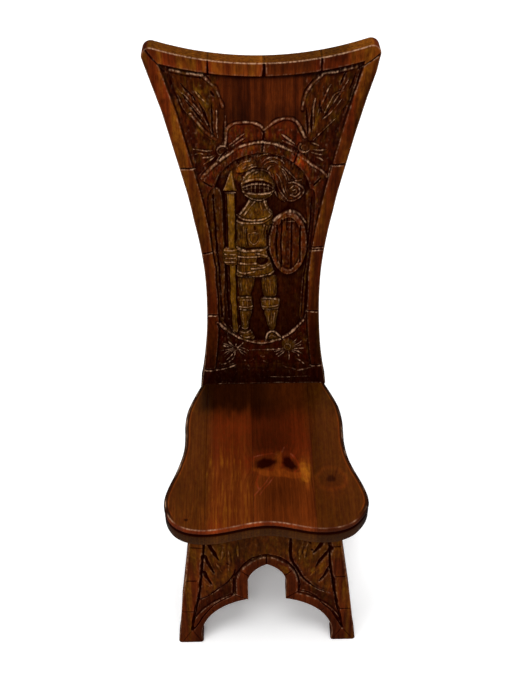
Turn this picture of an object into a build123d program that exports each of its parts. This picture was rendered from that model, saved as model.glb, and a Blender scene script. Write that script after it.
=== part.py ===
"""A carved plank-back hall chair: reclined back board, shaped seat and two splayed leg boards.

Lengths are millimetres and angles are degrees. +X is the right hand of someone who faces the
chair, -Y is its front and Z is up. The origin is on the floor, under the middle of the chair.
Each board is glued up from staves, and each stave is a piece of its own.
"""
from build123d import *
from math import cos, radians, sin, tan
import os

os.makedirs("parts", exist_ok=True)

# ---------------------------------------------------------------- driving dimensions
# Fits between pieces
fit_gap = 0.2  # clearance on each side of a tenon, key, screw or housing
edge_ease = 1.5  # bevel on the arrises of the back board

# Seat
seat_height = 385  # floor to seat top
seat_thickness = 38
base_half_width = 114  # seat and back board where they meet
side_bulge = (139, 104)  # half-width and reach in front of the back line
side_hollow = (138, 142)
side_flare = (150, 200)
front_widest = (168.5, 268)
front_corner = (152, 307)
front_lobe = (100, 324)
side_flare_facing = -22  # way that the edge faces there, forwards from sideways
front_corner_facing = 50
front_hollow = 15  # how far the middle of the front edge lies behind the lobes
seat_rear_slope = 0.38  # how fast the seat widens in front of the back board
seat_tail = 50  # reach behind the back line
tail_corner_radius = 14
bead_height = 7.5
bead_radius = 3.2
quirk_height = 6
quirk_inset = 6
fascia_inset = 1.5
seat_outer_seam_inset = 12  # from the base's width to the left outer stave
seat_seams = (seat_outer_seam_inset - base_half_width, -22, 81)

# Back board
board_thickness = 32
recline = 5.83  # lean of the back board from the vertical
waist = (96, 205)  # half-width and height above the seat, along the board
flare = (118, 402)
tip = (179, 646)
crest_height = 614  # middle of the hollow top edge
tip_radius = 13
border_width = 20.5
field_depth = 2.5  # carved field below the border
ear_seam_outset = 5  # from the base's width to the stave that only widens the left tip
back_seams = (-(base_half_width + ear_seam_outset), -17, 83)

# Through tenons of the back board and their keys
tenon_inner = 35
tenon_outer = 75
tenon_shoulder = 6  # at the front and at the rear of the board
tenon_tail = 34  # below the tenon cleat
key_thickness = 12
key_front_height = 15
key_rear_height = 21
key_front_reach = 12  # past the tenon, towards the front
key_rear_reach = 18
key_draw = 2  # room above the key inside the cleat

# Relief on the back board
niche_half_width = 77
niche_top = 392  # centre of the niche's round head
niche_bottom = 177  # centre of its round foot
niche_depth = 5.5
arch_band_width = 19
arch_band_depth = 0.8
figure_depth = 2  # face of the figure below the border
helmet_centre = (-7, 411)
helmet_radius = 25
plume = ((-30, 455), (4, 464), (38, 444), (38, 400), (24, 388), (10, 425), (-12, 438))
body = ((-46, 352), (-22, 384), (3, 384), (24, 352), (10, 298), (20, 246), (-43, 237), (-41, 298))
shield_centre = (42, 304)
shield_radii = (31, 61)
shield_depth = 1
leg_width = 20
left_shank = ((-29, 236), (-29, 125))
right_shank = ((14, 236), (16, 125))
foot_size = (24, 14)
foot_height = 111
left_foot_x = -29
right_foot_x = 17
lance_x = -50
lance_width = 10
lance_foot = 118
lance_neck = 402
lance_head_half_width = 10
lance_head_top = 438

# Grooves that part the border into blocks: heights along the board, and places along the top
joint_width = 2.4
joint_depth = 2
left_joints = (36, 159, 287, 443)
right_joints = (42, 164, 290, 446)
top_joints = (-78, 3, 88)

# Leg boards
leg_thickness = 32
front_leg_setback = 31  # behind the middle of the seat front, at the seat's underside
front_splay = 4.78
rear_leg_setback = 75  # in front of the back line, at the seat's underside
rear_splay = 9
front_foot_half_width = 165.5
front_top_half_width = 126
rear_top_inset = 8  # rear leg board's top inside the base's width
housing_depth = 8
housing_gap = 1.5  # beside the tapering top end of a leg board
saw_run_out = 3  # how far an opening is cut past the board's end
arch_foot_inner = 120
arch_sagitta = 32  # bulge of the lower arcs
cusp_height = 131
throat_half_width = 34
throat_top = 184
arch_apex = 231
arch_head_sagitta = 7.5
leg_border_width = 21
leg_field_depth = 2.5
leg_seams = (-52, 50)

# Rail and cleats under the seat
rail_thickness = 20
rail_height = 60
rail_tenon_length = 10
rail_tenon_margin = 12  # above and below the stub tenons
cleat_size = 25
cleat_end_gap = 4  # between the rail and the ends of the cleats
cleat_length = 90
tenon_cleat_thickness = 28
tenon_cleat_width = 56
tenon_cleat_half_length = 98

# Countersunk wood screws
screw_length = 38
screw_radius = 2
screw_head_radius = 4
screw_head_height = 3
screw_tip_height = 6
cleat_lift_screws = (28, 92)  # into the seat, distances from the middle
cleat_side_screws = (39, 74)  # into the leg boards
tenon_cleat_screws_x = (-88, -12, 12, 88)


# ---------------------------------------------------------------- outlines
front_middle_reach = front_lobe[1] - front_hollow
rear_leg_narrowing = front_top_half_width - (base_half_width - rear_top_inset)


def seat_shape(inset):
    """Draw the seat with its edge moved in by an inset; Y is the reach in front of the back line."""

    def moved(point, facing):
        turn = radians(facing)
        return (point[0] - inset * cos(turn), point[1] - inset * sin(turn))

    rear = inset - seat_tail
    with BuildSketch() as shape:
        with BuildLine():
            Line((0, rear), (base_half_width - inset, rear))
            Line((base_half_width - inset, rear), (base_half_width - inset, 0))
            Spline(
                (base_half_width - inset, 0),
                moved(side_bulge, 0),
                moved(side_hollow, 0),
                moved(side_flare, side_flare_facing),
                moved(front_widest, 0),
                moved(front_corner, front_corner_facing),
                moved(front_lobe, 90),
                moved((0, front_middle_reach), 90),
                tangents=((seat_rear_slope, 1), (-1, 0)),
            )
            mirror(about=Plane.YZ)
        make_face()
        tail_corners = shape.vertices().group_by(Axis.Y)[0].filter_by(lambda v: abs(v.X) > inset + 1)
        fillet(tail_corners, tail_corner_radius - inset)
    return shape.sketch


with BuildSketch() as board_outline:  # y runs up the board from the seat
    with BuildLine():
        Line((0, 0), (base_half_width, 0))
        TangentArc(waist, (base_half_width, 0), tangent=(0, -1))
        TangentArc(waist, flare, tangent=(0, 1))
        Line(flare, tip)
        mirror(about=Plane.YZ)
        ThreePointArc((-tip[0], tip[1]), (0, crest_height), tip)
    make_face()
    fillet(board_outline.vertices().group_by(Axis.Y)[-1], tip_radius)


def inset(outline, amount):
    """Return an outline moved inwards by an amount, or outwards by a negative one."""
    with BuildSketch() as moved:
        add(outline)
        offset(amount=-amount)
    return moved.sketch


def leg_outline(foot_half_width, top_half_width, board_length):
    """Draw a tapered leg board, from the floor up to its housed top end."""
    with BuildSketch() as outline:
        with BuildLine():
            Polyline(
                (-foot_half_width, 0),
                (foot_half_width, 0),
                (top_half_width, board_length),
                (-top_half_width, board_length),
                close=True,
            )
        make_face()
    return outline.sketch


def arch_outline(foot_inner):
    """Draw the opening of a leg board: round below, with a pointed head above two cusps."""
    with BuildSketch() as outline:
        with BuildLine():
            Line((0, -saw_run_out), (foot_inner, -saw_run_out))
            Line((foot_inner, -saw_run_out), (foot_inner, 0))
            SagittaArc((foot_inner, 0), (throat_half_width, cusp_height), -arch_sagitta)
            Line((throat_half_width, cusp_height), (throat_half_width, throat_top))
            SagittaArc((throat_half_width, throat_top), (0, arch_apex), -arch_head_sagitta)
            mirror(about=Plane.YZ)
        make_face()
    return outline.sketch


# ---------------------------------------------------------------- derived places
seat_underside = seat_height - seat_thickness
board_top = board_outline.sketch.bounding_box().max.Y
rear_reach = board_top * sin(radians(recline)) + board_thickness * cos(radians(recline))
front_reach = seat_shape(0).bounding_box().max.Y
back_line = (front_reach - rear_reach) / 2  # Y of the back board's face at the seat top

seat_plane = Plane((0, back_line, seat_underside), x_dir=(-1, 0, 0), z_dir=(0, 0, 1))
back_plane = Plane(
    (0, back_line, seat_height),
    x_dir=(1, 0, 0),
    z_dir=(0, -cos(radians(recline)), sin(radians(recline))),
)

front_leg_top_y = back_line - front_middle_reach + front_leg_setback
front_foot_y = front_leg_top_y - seat_underside * tan(radians(front_splay))
front_leg_plane = Plane(
    (0, front_foot_y, 0),
    x_dir=(1, 0, 0),
    z_dir=(0, -cos(radians(front_splay)), sin(radians(front_splay))),
)
rear_leg_top_y = back_line - rear_leg_setback + leg_thickness / cos(radians(rear_splay))
rear_foot_y = rear_leg_top_y + seat_underside * tan(radians(rear_splay))
rear_leg_plane = Plane(
    (0, rear_foot_y, 0),
    x_dir=(-1, 0, 0),
    z_dir=(0, cos(radians(rear_splay)), sin(radians(rear_splay))),
)


def front_leg_rear_y(z):
    """Return Y of the front leg board's rear face at a height above the floor."""
    return front_foot_y + z * tan(radians(front_splay)) + leg_thickness / cos(radians(front_splay))


def rear_leg_front_y(z):
    """Return Y of the rear leg board's front face at a height above the floor."""
    return rear_foot_y - z * tan(radians(rear_splay)) - leg_thickness / cos(radians(rear_splay))


def tenon_front_y(z):
    """Return Y of the front face of the back board's tenons at a height above the floor."""
    lean = (z - seat_height) * tan(radians(recline))
    return back_line + lean + tenon_shoulder / cos(radians(recline))


tenon_thickness = board_thickness - 2 * tenon_shoulder
tenon_depth = tenon_thickness / cos(radians(recline))
cleat_bottom = seat_underside - cleat_size
tenon_cleat_bottom = seat_underside - tenon_cleat_thickness
tenon_cleat_middle = tenon_front_y((seat_underside + tenon_cleat_bottom) / 2) + tenon_depth / 2
tenon_end = (tenon_cleat_bottom - tenon_tail - seat_height) / cos(radians(recline))


# ---------------------------------------------------------------- shared shapes and cutters
def tenons(gap):
    """Make both tenons of the back board, grown by a gap on every side."""
    width = tenon_outer - tenon_inner
    with BuildPart() as prisms:
        with BuildSketch(back_plane.offset(gap - tenon_shoulder)):
            for side in (-1, 1):
                with Locations((side * (tenon_inner + width / 2), board_thickness / 2)):
                    Rectangle(
                        width + 2 * gap,
                        board_thickness / 2 - tenon_end + gap,
                        align=(Align.CENTER, Align.MAX),
                    )
        extrude(amount=-(tenon_thickness + 2 * gap))
    return prisms.part


def key_prism(centre_x, gap, draw):
    """Make a wedge key below the tenon cleat, grown by a gap and by a draw above it."""
    front = tenon_front_y(tenon_cleat_bottom) - key_front_reach
    rear = tenon_front_y(tenon_cleat_bottom) + tenon_depth + key_rear_reach
    half = key_thickness / 2 + gap
    with BuildPart() as prism:
        with BuildSketch(Plane.YZ.offset(centre_x - half)):
            with BuildLine():
                Polyline(
                    (front, tenon_cleat_bottom + draw),
                    (rear, tenon_cleat_bottom + draw),
                    (rear, tenon_cleat_bottom - key_rear_height - gap),
                    (front, tenon_cleat_bottom - key_front_height - gap),
                    close=True,
                )
            make_face()
        extrude(amount=2 * half)
    return prism.part


def rail_prism(gap, tenon_only):
    """Make the rail between the leg boards, or only its two stub tenons as a cutter."""
    low = seat_underside - rail_height
    stub_low = low + rail_tenon_margin - gap
    stub_high = seat_underside - rail_tenon_margin + gap
    half = rail_thickness / 2 + gap
    reach = rail_tenon_length + gap
    with BuildPart() as prism:
        with BuildSketch(Plane.YZ.offset(-half)):
            if not tenon_only:
                with BuildLine():
                    Polyline(
                        (front_leg_rear_y(low), low),
                        (rear_leg_front_y(low), low),
                        (rear_leg_front_y(seat_underside), seat_underside),
                        (front_leg_rear_y(seat_underside), seat_underside),
                        close=True,
                    )
                make_face()
            with BuildLine():
                Polyline(
                    (front_leg_rear_y(stub_low) - reach, stub_low),
                    (rear_leg_front_y(stub_low) + reach, stub_low),
                    (rear_leg_front_y(stub_high) + reach, stub_high),
                    (front_leg_rear_y(stub_high) - reach, stub_high),
                    close=True,
                )
            make_face()
        extrude(amount=2 * half)
    return prism.part


def wood_screw(gap):
    """Make a countersunk screw that points up, with its head's face on Z = 0."""
    with BuildPart() as screw:
        with BuildSketch(Plane.XZ):
            with BuildLine():
                Polyline(
                    (0, 0),
                    (screw_head_radius + gap, 0),
                    (screw_radius + gap, screw_head_height),
                    (screw_radius + gap, screw_length - screw_tip_height),
                    (0, screw_length + gap),
                    close=True,
                )
            make_face()
        revolve(axis=Axis.Z)
    return screw.part


def screw_set(sites, gap):
    """Put a screw, or its hole, at each site."""
    with BuildPart() as screws:
        with Locations(*[Location(site) for site in sites]):
            add(wood_screw(gap))
    return screws.part


up = (0, 0, 1)
front_cleat_face = front_leg_rear_y(seat_underside) + cleat_size
rear_cleat_face = rear_leg_front_y(seat_underside) - cleat_size
cleat_middle = seat_underside - cleat_size / 2
front_screw_sites = [
    Plane((side * x, front_cleat_face - cleat_size / 2, cleat_bottom), z_dir=up)
    for side in (-1, 1)
    for x in cleat_lift_screws
] + [
    Plane((side * x, front_cleat_face, cleat_middle), z_dir=(0, -1, 0))
    for side in (-1, 1)
    for x in cleat_side_screws
]
rear_screw_sites = [
    Plane((side * x, rear_cleat_face + cleat_size / 2, cleat_bottom), z_dir=up)
    for side in (-1, 1)
    for x in cleat_lift_screws
] + [
    Plane((side * x, rear_cleat_face, cleat_middle), z_dir=(0, 1, 0))
    for side in (-1, 1)
    for x in cleat_side_screws
]
tenon_screw_sites = [
    Plane((x, tenon_cleat_middle, tenon_cleat_bottom), z_dir=up) for x in tenon_cleat_screws_x
]
screw_holes = screw_set(front_screw_sites + rear_screw_sites + tenon_screw_sites, fit_gap)


def write(name, part):
    """Label a finished piece and write it to its own STEP file."""
    part.label = name
    export_step(part, f"parts/{name}.step")


def write_staves(board, seams, names):
    """Cut a glued-up board along its seams and write each stave."""
    past_edge = 2 * max(front_foot_half_width, tip[0], front_widest[0])
    edges = (-past_edge, *seams, past_edge)
    for name, low, high in zip(names, edges[:-1], edges[1:]):
        with BuildPart() as stave:
            add(board)
            split(bisect_by=Plane.YZ.offset(low), keep=Keep.TOP)
            split(bisect_by=Plane.YZ.offset(high), keep=Keep.BOTTOM)
        write(name, stave.part)


# ---------------------------------------------------------------- back board
with BuildSketch() as board_field:  # the carved field inside the border, open towards the seat
    add(inset(board_outline.sketch, border_width))
    low = board_field.vertices().group_by(Axis.Y)[0].sort_by(Axis.X)[-1]
    with BuildLine():
        Polyline(
            (-low.X, low.Y),
            (low.X, low.Y),
            (base_half_width - border_width, 0),
            (border_width - base_half_width, 0),
            close=True,
        )
    make_face()

with BuildSketch() as niche:  # round-headed and round-footed hollow that holds the figure
    with Locations((0, (niche_top + niche_bottom) / 2)):
        SlotCenterToCenter(niche_top - niche_bottom, 2 * niche_half_width, rotation=90)
    add(board_field.sketch, mode=Mode.INTERSECT)

with BuildSketch() as arch_band:  # ring of blocks round the niche's head
    with Locations((0, niche_top)):
        Circle(niche_half_width + arch_band_width)
        Circle(niche_half_width, mode=Mode.SUBTRACT)
        Rectangle(
            3 * niche_half_width, 3 * niche_half_width, align=(Align.CENTER, Align.MAX), mode=Mode.SUBTRACT
        )
    add(board_field.sketch, mode=Mode.INTERSECT)

with BuildSketch() as figure:  # standing knight with a lance
    with Locations(helmet_centre):
        Circle(helmet_radius)
    with BuildLine():
        Spline(*plume, periodic=True)
    make_face()
    with BuildLine():
        Polyline(*body, close=True)
    make_face()
    for start, end in (left_shank, right_shank):
        with Locations(((start[0] + end[0]) / 2, (start[1] + end[1]) / 2)):
            Rectangle(leg_width, start[1] - end[1])
    with Locations((left_foot_x, foot_height), (right_foot_x, foot_height)):
        Rectangle(*foot_size)
    with Locations((lance_x, (lance_foot + lance_neck) / 2)):
        Rectangle(lance_width, lance_neck - lance_foot)
    with BuildLine():
        Polyline(
            (lance_x - lance_head_half_width, lance_neck),
            (lance_x, lance_head_top),
            (lance_x + lance_head_half_width, lance_neck),
            close=True,
        )
    make_face()
    add(niche.sketch, mode=Mode.INTERSECT)

with BuildPart() as back_board:
    with BuildSketch(back_plane):
        add(board_outline.sketch)
    extrude(amount=-board_thickness)
    arrises = back_board.edges().filter_by(lambda e: e.center().Z > seat_height + board_thickness)
    arrises = arrises.filter_by(lambda e: e.length > 2 * board_thickness)
    chamfer(arrises, edge_ease)
    split(bisect_by=Plane.XY.offset(seat_height), keep=Keep.TOP)
    with BuildSketch(back_plane):
        add(board_field.sketch)
    extrude(amount=-field_depth, mode=Mode.SUBTRACT)
    with BuildSketch(back_plane):
        add(niche.sketch)
    extrude(amount=-niche_depth, mode=Mode.SUBTRACT)
    with BuildSketch(back_plane.offset(-field_depth)):
        add(arch_band.sketch)
    extrude(amount=field_depth - arch_band_depth)
    with BuildSketch(back_plane.offset(-niche_depth)):
        add(figure.sketch)
    extrude(amount=niche_depth - figure_depth)
    with BuildSketch(back_plane.offset(-niche_depth)):
        with Locations(shield_centre):
            Ellipse(*shield_radii)
    extrude(amount=niche_depth - shield_depth)
    with BuildSketch(back_plane):
        for side, joints in ((-1, left_joints), (1, right_joints)):
            for height in joints:
                with Locations((side * tip[0], height)):
                    Rectangle(2 * (tip[0] - niche_half_width), joint_width)
        for place in top_joints:
            with Locations((place, tip[1])):
                Rectangle(joint_width, 2 * (tip[1] - crest_height + border_width))
        add(board_field.sketch, mode=Mode.SUBTRACT)
    extrude(amount=-joint_depth, mode=Mode.SUBTRACT)
    add(tenons(0))
    for side in (-1, 1):
        add(key_prism(side * (tenon_inner + tenon_outer) / 2, fit_gap, key_draw), mode=Mode.SUBTRACT)
write_staves(
    back_board.part,
    back_seams,
    ("back_stave_outer_left", "back_stave_left", "back_stave_right", "back_stave_outer_right"),
)

# ---------------------------------------------------------------- seat
with BuildPart() as seat:
    with BuildSketch(seat_plane):
        add(seat_shape(fascia_inset))
    extrude(amount=seat_thickness - bead_height - quirk_height)
    with BuildSketch(seat_plane.offset(seat_thickness - bead_height - quirk_height)):
        add(seat_shape(quirk_inset))
    extrude(amount=quirk_height)
    with BuildSketch(seat_plane.offset(seat_thickness - bead_height)):
        add(seat_shape(0))
    extrude(amount=bead_height)
    fillet(seat.edges().group_by(Axis.Z)[-1], bead_radius)
    add(tenons(fit_gap), mode=Mode.SUBTRACT)
    for plane, half_width, splay in (
        (front_leg_plane, front_top_half_width, front_splay),
        (rear_leg_plane, front_top_half_width - rear_leg_narrowing, rear_splay),
    ):
        board_length = seat_underside / cos(radians(splay)) + housing_depth
        with BuildSketch(plane.offset(fit_gap)):
            with Locations((0, board_length)):
                Rectangle(2 * (half_width + housing_gap), 3 * housing_depth, align=(Align.CENTER, Align.MAX))
        extrude(amount=-(leg_thickness + 2 * fit_gap), mode=Mode.SUBTRACT)
    add(screw_holes, mode=Mode.SUBTRACT)
write_staves(
    seat.part,
    seat_seams,
    ("seat_stave_outer_left", "seat_stave_left", "seat_stave_right", "seat_stave_outer_right"),
)


# ---------------------------------------------------------------- leg boards
def leg_board(plane, splay, narrowing, carved):
    """Make a whole leg board, standing on the floor and housed in the seat's underside."""
    board_length = seat_underside / cos(radians(splay)) + housing_depth
    outline = leg_outline(
        front_foot_half_width - narrowing, front_top_half_width - narrowing, board_length
    )
    opening = arch_outline(arch_foot_inner - narrowing)
    with BuildPart() as board:
        with BuildSketch(plane):
            add(outline)
        extrude(amount=-leg_thickness)
        with BuildSketch(plane):
            add(opening)
        extrude(amount=-leg_thickness, mode=Mode.SUBTRACT)
        split(bisect_by=Plane.XY, keep=Keep.TOP)
        if carved:
            with BuildSketch(plane):
                add(inset(outline, leg_border_width))
                add(inset(opening, -leg_border_width), mode=Mode.SUBTRACT)
            extrude(amount=-leg_field_depth, mode=Mode.SUBTRACT)
        add(rail_prism(fit_gap, tenon_only=True), mode=Mode.SUBTRACT)
        add(screw_holes, mode=Mode.SUBTRACT)
    return board.part


write_staves(
    leg_board(front_leg_plane, front_splay, 0, carved=True),
    leg_seams,
    ("front_leg_stave_left", "front_leg_stave_middle", "front_leg_stave_right"),
)
write_staves(
    leg_board(rear_leg_plane, rear_splay, rear_leg_narrowing, carved=False),
    leg_seams,
    ("rear_leg_stave_left", "rear_leg_stave_middle", "rear_leg_stave_right"),
)

# ---------------------------------------------------------------- rail, cleats, keys and screws
write("keel_rail", rail_prism(0, tenon_only=False))

for name, side in (("left", -1), ("right", 1)):
    near = rail_thickness / 2 + cleat_end_gap
    start = near if side > 0 else -near - cleat_length
    for place, face, leg_y in (
        ("front", front_cleat_face, front_leg_rear_y),
        ("rear", rear_cleat_face, rear_leg_front_y),
    ):
        with BuildPart() as cleat:
            with BuildSketch(Plane.YZ.offset(start)):
                with BuildLine():
                    Polyline(
                        (face, seat_underside),
                        (leg_y(seat_underside), seat_underside),
                        (leg_y(cleat_bottom), cleat_bottom),
                        (face, cleat_bottom),
                        close=True,
                    )
                make_face()
            extrude(amount=cleat_length)
            add(screw_holes, mode=Mode.SUBTRACT)
        write(f"{place}_cleat_{name}", cleat.part)
    write(f"tenon_key_{name}", key_prism(side * (tenon_inner + tenon_outer) / 2, 0, 0))

with BuildPart() as tenon_cleat:
    with BuildSketch(Plane.XY.offset(tenon_cleat_bottom)):
        with Locations((0, tenon_cleat_middle)):
            Rectangle(2 * tenon_cleat_half_length, tenon_cleat_width)
    extrude(amount=tenon_cleat_thickness)
    add(tenons(fit_gap), mode=Mode.SUBTRACT)
    add(screw_holes, mode=Mode.SUBTRACT)
write("tenon_cleat", tenon_cleat.part)

write("front_cleat_screws", screw_set(front_screw_sites, 0))
write("rear_cleat_screws", screw_set(rear_screw_sites, 0))
write("tenon_cleat_screws", screw_set(tenon_screw_sites, 0))
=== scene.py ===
"""A carved plank-back hall chair in stained and varnished pine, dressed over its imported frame.

A board's face is drawn in its own millimetres: x to the right of someone who faces the chair, v up
along the board, and height out of its front face, where 0 is the untouched wood. Finished meshes
are in metres, in the frame's own place. Each board is one closed carved shell, which is cut along
its glue seams into the staves that the frame names.
"""

import logging
import math
from dataclasses import dataclass, field
from enum import Enum

import bmesh
import bpy
import numpy as np
from mathutils import Matrix, Vector


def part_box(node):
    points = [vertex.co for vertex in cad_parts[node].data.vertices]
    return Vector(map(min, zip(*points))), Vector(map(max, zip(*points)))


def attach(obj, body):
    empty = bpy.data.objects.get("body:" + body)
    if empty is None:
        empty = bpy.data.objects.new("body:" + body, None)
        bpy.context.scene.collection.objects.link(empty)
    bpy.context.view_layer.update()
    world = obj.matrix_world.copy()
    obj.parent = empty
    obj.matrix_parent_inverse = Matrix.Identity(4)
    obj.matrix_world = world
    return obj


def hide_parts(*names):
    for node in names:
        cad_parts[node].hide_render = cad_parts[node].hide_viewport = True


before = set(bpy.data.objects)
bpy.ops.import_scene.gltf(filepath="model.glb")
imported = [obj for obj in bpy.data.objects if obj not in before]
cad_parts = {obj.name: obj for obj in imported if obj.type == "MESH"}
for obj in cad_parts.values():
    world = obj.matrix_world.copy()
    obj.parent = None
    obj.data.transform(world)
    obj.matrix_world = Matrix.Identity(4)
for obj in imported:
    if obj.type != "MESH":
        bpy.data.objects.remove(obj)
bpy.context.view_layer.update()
log = logging.getLogger("hall_chair")

Array = np.ndarray
MM = 0.001
PAST_BOARD = 1000.0  # beyond either side of any board, in mm
TENON_CUT, TENON_RISE = 0.3849, 0.388  # where a tenon is cut off and how high it ends, in m
LEVEL_FOOT = 30.0  # how far up a leaning board its end is still cut level, in mm
BACK_STEP = 8  # face cells that one cell of a board's back spans
ARRIS_RINGS = 4  # rings of faces round each rounded arris
SAME_PLACE = 1e-7  # points this near a cut lie on it, in m
MARGIN = 1e-4  # faces this near a cut are kept until it is made, in m
# Fields of finish on the mesh. The wear field holds real wear together with painted highlights, the glaze
# field holds glaze together with painted shade, and the tone field holds painted shade and light besides
# stain.
FINISH_FIELDS = ("gilt", "rust", "glaze", "wear", "tone", "knot", "shift")


# ------------------------------------------------------------------ lines and areas, in mm
def path(text: str) -> Array:
    """Read an (n, 2) array of points from "x,v x,v ..."."""
    return np.array([[float(part) for part in pair.split(",")] for pair in text.split()])


def smooth_line(points: Array, per_span: int = 6, closed: bool = False) -> Array:
    """Draw a Catmull-Rom curve through points.

    On the span from b to c, between neighbours a and d, at a share t:
    half of (2b + (c - a)t + (2a - 5b + 4c - d)t^2 + (3b - a - 3c + d)t^3).

    Args:
        points: (n, 2) points.
        per_span: points drawn on each span.
        closed: whether the curve joins its own start.

    Returns:
        An (m, 2) polyline; a closed one repeats its first point at its end.
    """
    if closed:
        run = np.vstack((points[-1:], points, points[:2]))
    else:
        run = np.vstack((2 * points[0] - points[1], points, 2 * points[-1] - points[-2]))
    share = np.linspace(0, 1, per_span, endpoint=False)[:, None, None]
    before, start, end, after = run[:-3], run[1:-2], run[2:-1], run[3:]
    spans = 0.5 * (
        2 * start
        + (end - before) * share
        + (2 * before - 5 * start + 4 * end - after) * share**2
        + (3 * start - before - 3 * end + after) * share**3
    )
    line = spans.transpose(1, 0, 2).reshape(-1, 2)
    return np.vstack((line, run[-2:-1])) if not closed else np.vstack((line, line[:1]))


def resample(line: Array, count: int) -> Array:
    """Place points evenly by length along a polyline.

    Args:
        line: (n, 2) polyline.
        count: number of points, both ends counted.

    Returns:
        A (count, 2) polyline.
    """
    length = np.concatenate(([0.0], np.cumsum(np.hypot(*np.diff(line, axis=0).T))))
    at = np.linspace(0, length[-1], count)
    return np.stack([np.interp(at, length, line[:, axis]) for axis in (0, 1)], axis=1)


def moved_in(line: Array, inset: float) -> Array:
    """Move a polyline to its left.

    Args:
        line: (n, 2) polyline.
        inset: how far it moves.

    Returns:
        The moved polyline.
    """
    way = np.gradient(line, axis=0)
    way /= np.hypot(*way.T)[:, None]
    return line + inset * np.stack((-way[:, 1], way[:, 0]), -1)


def to_line(x: Array, v: Array, line: Array) -> tuple[Array, Array]:
    """Measure points against a polyline.

    Each point is dropped onto every segment, with the foot held between the segment's ends, and
    the nearest foot counts.

    Args:
        x: (m,) places across.
        v: (m,) places along.
        line: (n, 2) polyline.

    Returns:
        Each point's distance, and the share of the line's length at its nearest point.
    """
    start, run = line[:-1], np.diff(line, axis=0)
    square = np.maximum((run**2).sum(1), 1e-9)
    dx, dv = x[:, None] - start[:, 0], v[:, None] - start[:, 1]
    foot = np.clip((dx * run[:, 0] + dv * run[:, 1]) / square, 0, 1)
    gap = (dx - foot * run[:, 0]) ** 2 + (dv - foot * run[:, 1]) ** 2
    best = gap.argmin(1)
    rows = np.arange(len(x))
    length = np.sqrt(square)
    done = np.concatenate(([0.0], np.cumsum(length)))
    share = (done[best] + foot[rows, best] * length[best]) / done[-1]
    return np.sqrt(gap[rows, best]), share


def is_inside(x: Array, v: Array, loop: Array) -> Array:
    """Tell which points lie in a closed polyline, by counting the edges to their right.

    Args:
        x: (m,) places across.
        v: (m,) places along.
        loop: (n, 2) polyline that ends where it starts.

    Returns:
        Whether each point is inside.
    """
    start, end = loop[:-1], loop[1:]
    straddles = (start[:, 1] > v[:, None]) != (end[:, 1] > v[:, None])
    rise = np.where(end[:, 1] == start[:, 1], 1e-9, end[:, 1] - start[:, 1])
    crossing = start[:, 0] + (v[:, None] - start[:, 1]) * (end[:, 0] - start[:, 0]) / rise
    return (straddles & (x[:, None] < crossing)).sum(1) % 2 == 1


def ease_in(share: Array) -> Array:
    """Turn a share into a smooth step, 3t^2 - 2t^3, held between 0 and 1."""
    held = np.clip(share, 0, 1)
    return held * held * (3 - 2 * held)


def hill(place: Array, middle: float, width: float, power: int = 2) -> Array:
    """Give a bell over a line, exp(-((place - middle) / width)^power)."""
    return np.exp(-(((place - middle) / width) ** power))


def ellipse(centre: Array | tuple[float, float], radii: float | tuple[float, float], turn: Array) -> Array:
    """Draw the points at some turns, in radians, round an ellipse: centre + radii * (cos, sin)."""
    return np.array(centre) + np.array(radii) * np.stack((np.cos(turn), np.sin(turn)), -1)


def value_noise(x: Array, v: Array, cell: tuple[float, float], seed: int) -> Array:
    """Make a smooth random field from -1 to 1.

    Random values stand on a lattice of cells, and a point blends its four with smooth steps.

    Args:
        x: places across.
        v: places along.
        cell: the cell's width and height.
        seed: seed of the lattice.

    Returns:
        The field at each point.
    """
    lattice = np.random.default_rng(seed).uniform(-1, 1, (256, 256))
    across, along = x / cell[0] + 128.0, v / cell[1] + 64.0
    col, row = np.floor(across).astype(int), np.floor(along).astype(int)
    s, t = ease_in(across - col), ease_in(along - row)
    col, row = col % 255, row % 255
    low = lattice[row, col] * (1 - s) + lattice[row, col + 1] * s
    high = lattice[row + 1, col] * (1 - s) + lattice[row + 1, col + 1] * s
    return low * (1 - t) + high * t


def hand_drift(x: Array, v: Array, left: str, right: str) -> Array:
    """Tell how far hand-sawn sides stray outward, from "place,drift ..." for the left and the right."""
    on_left, on_right = (np.interp(v, *path(text).T) for text in (left, right))
    return np.where(x < 0, on_left, on_right) * ease_in(np.abs(x) / 90)


# ------------------------------------------------------------------ relief
class Taper(Enum):
    """How a carved stroke's width runs along it."""

    EVEN = "even"
    BOTH = "pointed at both ends"
    START = "pointed where it starts"
    END = "pointed where it ends"

    def width(self, share: Array) -> Array:
        """Give the stroke's width along it.

        Args:
            share: shares of its length.

        Returns:
            The shares of its full width.
        """
        if self is Taper.BOTH:
            return np.sqrt(np.clip(np.sin(np.pi * share), 0, 1))
        if self is Taper.START:
            return np.sqrt(np.clip(share * 1.6, 0, 1))
        if self is Taper.END:
            return np.sqrt(np.clip((1 - share) * 1.6, 0, 1))
        return np.ones_like(share)


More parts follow.
